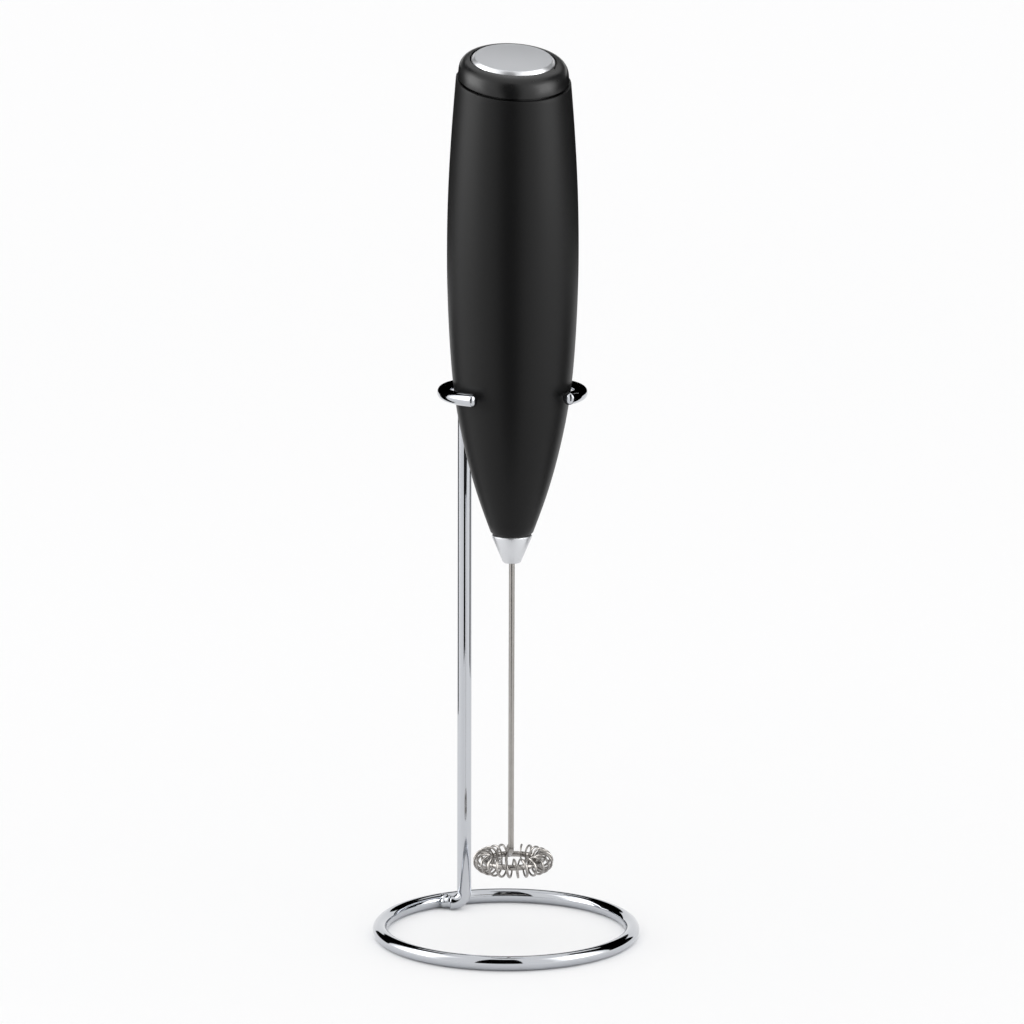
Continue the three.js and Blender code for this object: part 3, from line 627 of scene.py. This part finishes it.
outwards = (foot_low - ring_centre).xy.normalized().to_3d()
foot_bead = bead("foot_weld", [
    (foot_low + foot_way * along * MM + outwards * across * MM + UP * rise * MM, radius * MM)
    for along, across, rise, radius in (
        (0.3, 0.9, 0.1, 1.75), (0.9, 2.0, 0.35, 1.7), (1.8, 2.9, 0.3, 1.6),
        (0.2, 2.4, -0.2, 1.5), (1.6, 1.0, -0.2, 1.5))
])
placed(foot_bead, "stand", "chrome_wire", chrome.material, smooth=180)
clip_bead = bead("clip_weld", [
    (post.tip + Vector((side * 1.1, 0, 0)) * MM - arm_way * 0.2 * MM, 1.75 * MM) for side in (-1, 0, 1)])
placed(clip_bead, "stand", "chrome_wire", chrome.material, smooth=180)


# %% [markdown]
# ## Handle
# The handle is one long moulding that swells and tapers smoothly. It could be a lathed curve, but a few
# rings that are extruded and widened are easier to judge and to change, and a subdivision surface draws the
# smooth skin between them. A slanted cut opens the top, then the wall gets its thickness and a round edge.

# %% Shape the handle
def outside(node):
    """The (height, radius) pairs of a round node's outer wall, from its lowest ring to its highest."""
    wall = {}
    for vertex in frame["nodes"][node].data.vertices:
        height = round(vertex.co.z, 5)
        reach = (vertex.co.xy - AXIS.xy).length
        wall[height] = max(wall.get(height, 0), reach)
    return sorted(wall.items())


def radius_at(wall, height):
    """The wall's radius at a height, between its rings."""
    for (low_height, low_radius), (high_height, high_radius) in zip(wall, wall[1:]):
        if low_height <= height <= high_height:
            share = (height - low_height) / max(high_height - low_height, 1e-9)
            return low_radius + (high_radius - low_radius) * share
    return wall[-1][1] if height > wall[-1][0] else wall[0][1]


WALL = 1.4 * MM
RINGS = 15
low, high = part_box("handle_shell")
seam_lowest = on_axis(SEAM).z + SLANT.y / SLANT.z * 15 * MM
wall = [(z, r) for z, r in outside("handle_shell") if low.z < z < seam_lowest and r > 4.9 * MM]
taper = (wall[-1][1] - wall[-3][1]) / (wall[-1][0] - wall[-3][0])


def handle_radius(height):
    """The handle's outside radius, carried on past the last whole ring by the taper there."""
    if height > wall[-1][0]:
        return wall[-1][1] + taper * (height - wall[-1][0])
    return radius_at(wall, height)


FOOT_ROUND = 0.35 * MM
bottom = low.z + FOOT_ROUND
heights = [bottom + (high.z + 3 * MM - bottom) * i / RINGS for i in range(RINGS + 1)]
outline = [(handle_radius(z), z) for z in heights]
bpy.ops.object.select_all(action="DESELECT")
bpy.ops.mesh.primitive_circle_add(vertices=48, radius=outline[0][0], location=AXIS + UP * bottom)
handle = opened("handle_shell_skin")
for (radius, height), (next_radius, next_height) in zip(outline, outline[1:]):
    bpy.ops.mesh.extrude_region_move(TRANSFORM_OT_translate={"value": UP * (next_height - height)})
    bpy.ops.transform.resize(value=(next_radius / radius, next_radius / radius, 1), center_override=AXIS)
bpy.ops.object.mode_set(mode="OBJECT")
modified(handle, "SUBSURF", levels=2, render_levels=2)
print("handle skin", len(handle.data.polygons))


# %% Close the neck, cut the slant and give the wall its thickness
bpy.ops.object.mode_set(mode="EDIT")
choose(handle, "EDGE", lambda centre, part: part.is_boundary and centre.z < bottom + 1 * MM)
bpy.ops.mesh.extrude_region_move(TRANSFORM_OT_translate={"value": -UP * FOOT_ROUND})
shrink = (outline[0][0] - FOOT_ROUND) / outline[0][0]
bpy.ops.transform.resize(value=(shrink, shrink, 1), center_override=AXIS)
bpy.ops.mesh.select_all(action="SELECT")
bpy.ops.mesh.bisect(plane_co=on_axis(SEAM), plane_no=SLANT, clear_outer=True, use_fill=False)
bpy.ops.mesh.select_all(action="SELECT")
bpy.ops.mesh.remove_doubles(threshold=0.002 * MM)
bpy.ops.mesh.normals_make_consistent(inside=False)
bpy.ops.object.mode_set(mode="OBJECT")
modified(handle, "SOLIDIFY", thickness=WALL, offset=-1, use_even_offset=True)
bpy.ops.object.mode_set(mode="EDIT")


def on_outer_lip(centre, part):
    """An edge of the slanted cut's outer rim."""
    level = abs(SLANT.dot(centre) - SEAM) < 0.15 * MM
    flat = all(abs(SLANT.dot(vertex.co) - SEAM) < 0.15 * MM for vertex in part.verts)
    return level and flat and (centre.xy - AXIS.xy).length > handle_radius(centre.z) - 0.3 * MM


choose(handle, "EDGE", on_outer_lip)
bpy.ops.mesh.bevel(offset=0.22 * MM, segments=3, profile=0.5, affect="EDGES")
placed(handle, "handle", "soft_black", soft_black.material, "handle_shell")


# %% [markdown]
# ## Nose
# A short metal cone closes the handle's lower end, over a thin black ring. Both are turned. The cone's
# edges catch the light, so they are real bevels. The stem that carries the bush runs up inside the handle.

# %% Turn the nose cone and the neck ring
low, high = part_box("nose_cone")
neck_low, neck_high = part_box("neck_ring")
cone_radius = width("nose_cone") / 2
cone_top = neck_low.z - 0.3 * MM
tip_radius = 2.4 * MM
bore = 1.15 * MM
bush_radius = 2.5 * MM
bush_floor = low.z + 2.9 * MM
stem_radius = width("neck_ring") / 2 - 0.6 * MM
nose = turned("nose_cone_metal", [
    (bore, low.z), (tip_radius - 0.3 * MM, low.z), (tip_radius, low.z + 0.3 * MM),
    (cone_radius, cone_top - 0.45 * MM), (cone_radius, cone_top), (stem_radius, cone_top),
    (stem_radius, high.z), (bush_radius, high.z), (bush_radius, bush_floor), (bore, bush_floor), (bore, low.z),
], corners=96, edge=0.08 * MM)
placed(nose, "handle", "satin_silver", cone_silver.material, "nose_cone")

ring_outer = width("neck_ring") / 2
flange_radius = cone_radius - 0.25 * MM
flange_low = cone_top + 0.03 * MM
flange_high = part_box("handle_shell")[0].z - 0.03 * MM
neck = turned("neck_ring_rubber", [
    (stem_radius + 0.3 * MM, flange_low), (flange_radius, flange_low), (flange_radius, flange_high),
    (ring_outer, flange_high), (ring_outer, neck_high.z), (stem_radius + 0.3 * MM, neck_high.z),
    (stem_radius + 0.3 * MM, flange_low),
], corners=72, edge=0.05 * MM)
placed(neck, "handle", "black_rubber", inside["black_rubber"], "neck_ring")


# %% [markdown]
# ## Cap
# The cap carries on the handle's outline above a thin seam, and its top slants to meet the thumb. Sculpting
# the slant would make it uneven. Here an upright drum is cut by two slanted planes, and a wide bevel then
# rolls the shoulder over the slanted edge. Its plug is drawn straight down out of the lower face.

# %% Cut the cap's drum and draw out its plug
cap_low, cap_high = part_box("top_cap")
cap_radius = width("top_cap") / 2
LEDGE = 0.45 * MM
cap_axis = Vector((AXIS.x, middle("top_cap").y, 0))
PLUG_RADIUS = 12.85 * MM
HOLLOW_RADIUS = 11 * MM
SEAM_GAP = 0.3 * MM
SHOULDER = 3.0 * MM
CAP_TAPER = 0.35 * MM
bpy.ops.object.select_all(action="DESELECT")
drum_low = on_axis(SEAM).z - 12 * MM
drum_height = 32 * MM
bpy.ops.mesh.primitive_cylinder_add(vertices=128, radius=cap_radius, depth=drum_height, end_fill_type="NGON",
                                    location=cap_axis + UP * (drum_low + drum_height / 2))
cap = opened("top_cap_moulding")
for level, outwards in ((SEAM + SEAM_GAP, -1), (RIM, 1)):
    bpy.ops.mesh.select_all(action="SELECT")
    bpy.ops.mesh.bisect(plane_co=on_axis(level), plane_no=SLANT * outwards, clear_outer=True, use_fill=True)
choose(cap, "VERT", lambda centre, part: SLANT.dot(centre) > RIM - 0.01 * MM)
share = 1 - CAP_TAPER / cap_radius
bpy.ops.transform.resize(value=(share, share, 1), center_override=cap_axis)
choose(cap, "EDGE", lambda centre, part: all(SLANT.dot(v.co) > RIM - 0.2 * MM for v in part.verts))
bpy.ops.mesh.bevel(offset=SHOULDER, segments=14, profile=0.56, affect="EDGES")
print("drum faces", len(bmesh.from_edit_mesh(cap.data).faces))

choose(cap, "FACE", lambda centre, part: part.normal.dot(SLANT) < -0.95)
bpy.ops.mesh.inset(thickness=LEDGE, depth=0)
seam_inner = cap_radius - LEDGE
factor = PLUG_RADIUS / seam_inner
bpy.ops.mesh.extrude_region_move(TRANSFORM_OT_translate={"value": (0, 0, 0)})
bpy.ops.transform.resize(value=(factor, factor, 1), center_override=cap_axis)
bpy.ops.transform.translate(value=AXIS - cap_axis)
bpy.ops.mesh.extrude_region_move(TRANSFORM_OT_translate={"value": -UP * 3 * MM})
bpy.ops.transform.resize(value=(1, 1, 0), center_override=Vector((AXIS.x, AXIS.y, cap_low.z)))
bpy.ops.mesh.inset(thickness=PLUG_RADIUS - HOLLOW_RADIUS, depth=0)
bpy.ops.mesh.extrude_region_move(TRANSFORM_OT_translate={"value": UP * 7 * MM})
bpy.ops.mesh.select_all(action="SELECT")
bpy.ops.mesh.remove_doubles(threshold=0.001 * MM)
bpy.ops.mesh.normals_make_consistent(inside=False)
bpy.ops.object.mode_set(mode="OBJECT")


# %% [markdown]
# The button sits in a round pocket that is square to the slant. The pocket's outline crosses the slanted
# top of the drum, so a boolean cut with a slanted cylinder is the plain way to sink it, and a small bevel
# breaks its lip.

# %% Sink the button's pocket
tilt = SLANT.to_track_quat("Z", "Y").to_euler()
button_radius = width("button_disc") / 2
POCKET_CLEARANCE = 0.3 * MM
POCKET_DEPTH = 3.6 * MM


def slanted(level):
    """The point of the button's own line at a level along the slant."""
    face_centre = on_axis(FACE)
    return face_centre + SLANT * (level - FACE)


bpy.ops.object.select_all(action="DESELECT")
pocket_radius = button_radius + POCKET_CLEARANCE
bpy.ops.mesh.primitive_cylinder_add(vertices=128, radius=pocket_radius, depth=POCKET_DEPTH * 2,
                                    location=slanted(RIM), rotation=tilt)
cutter = bpy.context.object
modified(cap, "BOOLEAN", operation="DIFFERENCE", object=cutter, solver="EXACT")
bpy.data.objects.remove(cutter)
bpy.ops.object.select_all(action="DESELECT")
cap.select_set(True)
bpy.context.view_layer.objects.active = cap
bpy.ops.object.mode_set(mode="EDIT")


def on_pocket_lip(centre, part):
    """An edge of the pocket's mouth."""
    return all(abs((v.co - slanted(SLANT.dot(v.co))).length - button_radius - POCKET_CLEARANCE) < 0.03 * MM
               and abs(SLANT.dot(v.co) - RIM) < 0.03 * MM for v in part.verts)


choose(cap, "EDGE", on_pocket_lip)
bpy.ops.mesh.bevel(offset=0.2 * MM, segments=3, profile=0.5, affect="EDGES")
choose(cap, "EDGE", lambda centre, part: all(abs(SLANT.dot(v.co) - SEAM - SEAM_GAP) < 0.02 * MM
                                             and (v.co.xy - cap_axis.xy).length > cap_radius - 0.05 * MM
                                             for v in part.verts))
bpy.ops.mesh.bevel(offset=0.18 * MM, segments=3, profile=0.5, affect="EDGES")
placed(cap, "battery_cap", "gloss_black", gloss_black.material, "top_cap", smooth=40)


# %% [markdown]
# ## Button
# The button is a thick metal disc: its face is blasted satin and its edge is cut bright. The cut is a real
# chamfer with its own finish, given to the faces that slope.

# %% Make the button
THICKNESS = 1.8 * MM
CHAMFER = 0.85 * MM
bpy.ops.object.select_all(action="DESELECT")
bpy.ops.mesh.primitive_cylinder_add(vertices=128, radius=button_radius, depth=THICKNESS,
                                    location=slanted(FACE - THICKNESS / 2), rotation=tilt)
button = opened("button_metal")
choose(button, "EDGE", lambda centre, part: all(SLANT.dot(v.co) > FACE - 0.01 * MM for v in part.verts))
bpy.ops.mesh.bevel(offset=CHAMFER, segments=1, affect="EDGES")
choose(button, "FACE", lambda centre, part: part.normal.dot(SLANT) > 0.95)
bpy.ops.mesh.inset(thickness=0.25 * MM, depth=0)
for rise in (0.09, 0.07, 0.05, 0.02):
    bpy.ops.mesh.inset(thickness=2.2 * MM, depth=rise * MM)
bpy.ops.mesh.poke()
rounded(0.09 * MM, segments=2, sharpness=20)
choose(button, "FACE", lambda centre, part: 0.3 < part.normal.dot(SLANT) < 0.93)
bpy.context.object.data.materials.append(satin_silver.material)
bpy.context.object.data.materials.append(bright_edge.material)
bpy.context.object.active_material_index = 1
bpy.ops.object.material_slot_assign()
placed(button, "button", "satin_silver", satin_silver.material, "button_disc", smooth=25)


# %% [markdown]
# ## Whisk
# The shaft and the hoop are one piece of steel wire: straight down the axis, out along a short spoke, and
# round. The jig bends it like the stand. The fine coil is a spring that is wound straight first, which the
# Screw modifier does, and then pulled round the hoop, which is a Curve modifier along a circle.

# %% Bend the shaft and the hoop
low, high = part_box("whisk_shaft")
coil_middle = middle("whisk_coil")
SHAFT_RADIUS = 0.755 * MM
HOOP_RADIUS = 7.2 * MM
HOOP_HEIGHT = low.z + SHAFT_RADIUS
hoop_centre = Vector((coil_middle.x, AXIS.y, HOOP_HEIGHT))
SPOKE_RISE = 2.3 * MM
shaft = Wire("whisk_wire", AXIS + UP * high.z, -UP, SHAFT_RADIUS, 24)
shaft.straight(high.z - HOOP_HEIGHT - SPOKE_RISE - 1.6 * MM)
spoke_way = Vector((0.1, 1, -0.42)).normalized()
shaft.bend(spoke_way, 1.5 * MM, (-UP).angle(spoke_way), 10)
shaft.straight((hoop_centre.y + HOOP_RADIUS - shaft.tip.y) / shaft.way.y)
print("spoke tip", shaft.tip, "hoop", hoop_centre)
whisk_wire = shaft.cut(0)
hoop = Wire("whisk_hoop", hoop_centre + Vector((0, HOOP_RADIUS, 0)), (-1, 0, 0), SHAFT_RADIUS, 24)
hoop.bend((0, -1, 0), HOOP_RADIUS, math.tau, 110)
hoop_wire = hoop.cut(0)
bpy.ops.object.select_all(action="DESELECT")
hoop_wire.select_set(True)
whisk_wire.select_set(True)
bpy.context.view_layer.objects.active = whisk_wire
bpy.ops.object.join()
placed(whisk_wire, "rotor", "stainless", stainless.material, "whisk_shaft")


# %% Wind the coil and pull it round the hoop
def open_side(points):
    """The direction, about Z, of the widest gap in a ring of points."""
    turns = sorted(math.atan2(point.y, point.x) for point in points)
    pairs = zip(turns, turns[1:] + [turns[0] + math.tau])
    return max((after - before, (before + after) / 2) for before, after in pairs)[1]


COIL_RADIUS = 2.32 * MM
COIL_WIRE_RADIUS = 0.3 * MM
COIL_RING = 8 * MM
TURNS = 23
SPAN = math.radians(338)
STEPS = 24
bpy.ops.object.select_all(action="DESELECT")
bpy.ops.mesh.primitive_circle_add(vertices=10, radius=COIL_WIRE_RADIUS, location=(0, 0, COIL_RADIUS))
coil = opened("whisk_coil_wire")
bpy.ops.transform.rotate(value=math.pi / 2, orient_axis="X", center_override=(0, 0, COIL_RADIUS))
bpy.ops.object.mode_set(mode="OBJECT")
modified(coil, "SCREW", axis="X", screw_offset=COIL_RING * SPAN / TURNS, iterations=TURNS,
         steps=STEPS, render_steps=STEPS, angle=math.tau)
bpy.ops.curve.primitive_bezier_circle_add(radius=COIL_RING, location=(0, 0, 0))
former = bpy.context.object
former.data.resolution_u = 64
modified(coil, "CURVE", object=former, deform_axis="POS_X")
bpy.data.objects.remove(former)
bpy.ops.object.select_all(action="DESELECT")
coil.select_set(True)
bpy.context.view_layer.objects.active = coil
bpy.ops.object.mode_set(mode="EDIT")
sealed()
bpy.ops.object.mode_set(mode="OBJECT")
reach = [v.co.copy() for v in coil.data.vertices]
print("coil reaches", max(v.xy.length for v in reach))
coil.location = Vector((coil_middle.x, AXIS.y, coil_middle.z))
node_coil = [v.co - coil_middle for v in frame["nodes"]["whisk_coil"].data.vertices]
coil.rotation_euler.z = open_side(node_coil) - open_side(reach)
bpy.ops.object.transform_apply(location=True, rotation=True, scale=True)
placed(coil, "rotor", "stainless", stainless.material, "whisk_coil")


# %% [markdown]
# ## Cells
# A cell is a metal can in a plastic sleeve that is shrunk over both of its rims. One turned outline makes
# can, rims and contact button, and the finish changes where the sleeve ends. The two cells stand opposite
# ways up, so the outline starts from whichever end has no contact button.

# %% Turn the two cells
for name in ("cell_1", "cell_2"):
    low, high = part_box(name)
    length = high.z - low.z
    corners_on_top = [v.co for v in frame["nodes"][name].data.vertices if v.co.z > high.z - 0.01 * MM]
    reach = max((co.xy - middle(name).xy).length for co in corners_on_top)
    radius = width(name) / 2
    base, sign = (low.z, 1) if reach < radius / 2 else (high.z, -1)
    profile = [
        (radius - 1.3 * MM, 0.0), (radius - 0.75 * MM, 0.0), (radius - 0.7 * MM, 0.0),
        (radius - 0.25 * MM, 0.05 * MM), (radius, 0.35 * MM), (radius, length - 1.35 * MM),
        (radius - 0.25 * MM, length - 1.05 * MM), (radius - 0.9 * MM, length - 1.0 * MM),
        (radius - 1.0 * MM, length - 1.2 * MM), (2.4 * MM, length - 1.2 * MM),
        (1.9 * MM, length - 1.0 * MM), (1.9 * MM, length - 0.2 * MM), (1.7 * MM, length),
    ]
    cell = turned(name + "_can", [(r, base + sign * h) for r, h in profile], middle(name), 48)
    bpy.ops.object.mode_set(mode="EDIT")
    centre = middle(name).xy
    bare = radius - 0.85 * MM
    choose(cell, "FACE", lambda spot, part: min((v.co.xy - centre).length for v in part.verts) < bare)
    cell.data.materials.append(inside["cell_wrap"])
    cell.data.materials.append(inside["spring_steel"])
    cell.active_material_index = 1
    bpy.ops.object.material_slot_assign()
    placed(cell, "battery_cap", "cell_wrap", inside["cell_wrap"], name)


# %% [markdown]
# ## Seal and screws
# The seal is a rubber band with rounded edges that stands just out of the plug's groove. The screws have a
# domed head with a cross cut into it. They are turned from outlines, and one cutter makes each cross.

# %% Turn the seal and the screws
low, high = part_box("cap_seal")
seal_outer = width("cap_seal") / 2
seal_inner = seal_outer - 0.7 * MM
seal = turned("cap_seal_band", [(seal_inner, low.z), (seal_outer, low.z), (seal_outer, high.z),
                                (seal_inner, high.z), (seal_inner, low.z)], corners=96, edge=0.3 * MM)
placed(seal, "battery_cap", "black_rubber", inside["black_rubber"], "cap_seal")


def screw(name, body, head, tip):
    """A pan-head screw with a cross recess, its head face at one height and its tip at another."""
    centre = middle(name)
    radius = width(name) / 2
    way = 1 if tip > head else -1
    piece = turned(name + "_steel", [
        (0.35 * radius, head), (0.75 * radius, head + way * 0.12 * MM), (radius, head + way * 0.45 * MM),
        (radius, head + way * 0.7 * MM), (0.95 * MM, head + way * 0.7 * MM),
        (0.95 * MM, tip - way * 0.5 * MM), (0.35 * MM, tip)], centre, 32)
    for length, breadth in ((1.7, 0.42), (0.42, 1.7)):
        bpy.ops.object.select_all(action="DESELECT")
        bpy.ops.mesh.primitive_cube_add(size=1, location=(centre.x, centre.y, head),
                                        scale=(length * MM, breadth * MM, 0.9 * MM))
        cutter = bpy.context.object
        modified(piece, "BOOLEAN", operation="DIFFERENCE", object=cutter, solver="EXACT")
        bpy.data.objects.remove(cutter)
    return placed(piece, body, "spring_steel", inside["spring_steel"], name)


for side in (1, 2):
    low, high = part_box(f"cap_screw_{side}")
    screw(f"cap_screw_{side}", "battery_cap", low.z, high.z)
    low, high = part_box(f"deck_screw_{side}")
    screw(f"deck_screw_{side}", "handle", high.z, low.z)


# %% [markdown]
# ## Button's spring and stem
# The spring is one round section carried round and up by the Screw modifier, which is how a spring is wound.
# It can't follow the button and stay in the recess, so it stays with the cap. The stem is turned, then
# leant over to the slant. Both stand on the button's own line.

# %% Wind the spring and turn the stem
def leant(piece):
    """Moves a piece that was made about the origin onto the button's line: its zero is the button's face."""
    piece.rotation_euler = tilt
    piece.location = slanted(FACE)
    bpy.ops.object.select_all(action="DESELECT")
    piece.select_set(True)
    bpy.context.view_layer.objects.active = piece
    bpy.ops.object.transform_apply(location=True, rotation=True, scale=True)


def levels(node):
    """A node's lowest and highest level along the slant, measured from the button's face."""
    found = [SLANT.dot(v.co) - FACE for v in frame["nodes"][node].data.vertices]
    return min(found), max(found)


SPRING_WIRE = 0.2 * MM
SPRING_TURNS = 2
spring_low, spring_high = levels("button_spring")
spring_radius = width("button_spring") / 2 - SPRING_WIRE
pitch = (spring_high - spring_low - 2 * SPRING_WIRE) / SPRING_TURNS
bpy.ops.object.select_all(action="DESELECT")
bpy.ops.mesh.primitive_circle_add(vertices=10, radius=SPRING_WIRE, rotation=(math.pi / 2, 0, 0),
                                  location=(spring_radius, 0, spring_low + SPRING_WIRE))
spring = opened("button_spring_coil")
bpy.ops.object.mode_set(mode="OBJECT")
modified(spring, "SCREW", axis="Z", screw_offset=pitch, iterations=SPRING_TURNS, steps=40, render_steps=40,
         angle=math.tau)
bpy.ops.object.mode_set(mode="EDIT")
sealed()
bpy.ops.object.mode_set(mode="OBJECT")
leant(spring)
placed(spring, "battery_cap", "spring_steel", inside["spring_steel"], "button_spring")
tuple(slanted(FACE + spring_low))
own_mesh(spring)

stem_low, stem_high = levels("button_stem")
stem = turned("button_stem_rod", [
    (1.2 * MM, stem_low), (1.6 * MM, stem_low + 0.4 * MM), (1.6 * MM, -2.8 * MM), (3 * MM, -2.8 * MM),
    (3 * MM, -2.1 * MM), (1.6 * MM, -2.1 * MM), (1.6 * MM, stem_high)], Vector(), 48, edge=0.08 * MM)
leant(stem)
placed(stem, "button", "inner_black", inside["inner_black"], "button_stem")


# %% [markdown]
# ## Battery tray
# The tray is a moulding: half a drum, open in front, with a trough for each cell between two end plates.
# It is easier to take the troughs, the pockets and the holes out of the drum than to build walls round
# them. A fine bevel on every edge at the end is what a moulding tool would leave.

# %% Cut the battery tray
tray_low, tray_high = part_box("battery_tray")
tray_radius = width("battery_tray") / 2
bpy.ops.object.select_all(action="DESELECT")
bpy.ops.mesh.primitive_cylinder_add(vertices=96, radius=tray_radius, depth=tray_high.z - tray_low.z,
                                    location=(AXIS.x, AXIS.y, (tray_low.z + tray_high.z) / 2))
tray = opened("battery_tray_moulding")
bpy.ops.mesh.bisect(plane_co=(0, tray_high.y, 0), plane_no=(0, 1, 0), clear_outer=True, use_fill=True)
bpy.ops.object.mode_set(mode="OBJECT")


def cut_from_tray(low_corner, high_corner, round_radius=0):
    """Takes a box, or an upright round bar of that height, out of the tray."""
    low_corner, high_corner = Vector(low_corner), Vector(high_corner)
    centre = (low_corner + high_corner) / 2
    size = high_corner - low_corner
    bpy.ops.object.select_all(action="DESELECT")
    if round_radius:
        bpy.ops.mesh.primitive_cylinder_add(vertices=64, radius=round_radius, depth=size.z, location=centre)
    else:
        bpy.ops.mesh.primitive_cube_add(size=1, location=centre, scale=size)
    cutter = bpy.context.object
    modified(tray, "BOOLEAN", operation="DIFFERENCE", object=cutter, solver="EXACT")
    bpy.data.objects.remove(cutter)


cavity_low = tray_low.z + 1.8 * MM
cavity_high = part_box("cell_1")[1].z + 1.2 * MM
wide = tray_radius + 1 * MM
for name in ("cell_1", "cell_2"):
    spot = middle(name)
    cut_from_tray((spot.x, spot.y, cavity_low), (spot.x, spot.y, cavity_high), width(name) / 2 + 0.35 * MM)
    cut_from_tray((spot.x, spot.y, tray_low.z - 1 * MM), (spot.x, spot.y, cavity_low + 1 * MM), 3.6 * MM)
cut_from_tray((AXIS.x - wide, AXIS.y - wide, cavity_low), (AXIS.x + wide, AXIS.y - 1.5 * MM, cavity_high))
strip_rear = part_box("switch_strip")[1].y + 0.4 * MM
cut_from_tray((AXIS.x - 9 * MM, AXIS.y - wide, cavity_high - 1.2 * MM),
              (AXIS.x + 9 * MM, strip_rear, cavity_high))
for side in (-1, 1):
    riser = AXIS.x + side * 3.8 * MM
    cut_from_tray((riser - 0.6 * MM, strip_rear - 4.8 * MM, cavity_high - 1 * MM),
                  (riser + 0.6 * MM, strip_rear, tray_high.z + 1 * MM))
for name in ("cap_screw_1", "cap_screw_2"):
    spot = middle(name)
    cut_from_tray((spot.x, spot.y, cavity_high - 1 * MM), (spot.x, spot.y, tray_high.z + 1 * MM), 1.25 * MM)
    cut_from_tray((spot.x, spot.y, cavity_high - 1 * MM), (spot.x, spot.y, cavity_high + 1.5 * MM), 2.1 * MM)
modified(tray, "BEVEL", width=0.12 * MM, segments=2, limit_method="ANGLE", angle_limit=math.radians(40))
placed(tray, "battery_cap", "inner_black", inside["inner_black"], "battery_tray")


# %% [markdown]
# ## Pieces that stay
# The motor, its leads, the contact deck and the switch's strips sit deep inside the handle and the cap, and
# the frame's own pieces already have their whole shape. They only get the finish that the record names.

# %% Finish the nodes that stay
for node in frame["record"]["subparts"]:
    kept = frame["nodes"][node["node"]]
    if kept.hide_render:
        continue
    slot = node["material_slot"]
    kept.data.materials.clear()
    kept.data.materials.append(inside.get(slot, gloss_black.material))
print("kept", [name for name, kept in frame["nodes"].items() if not kept.hide_render])
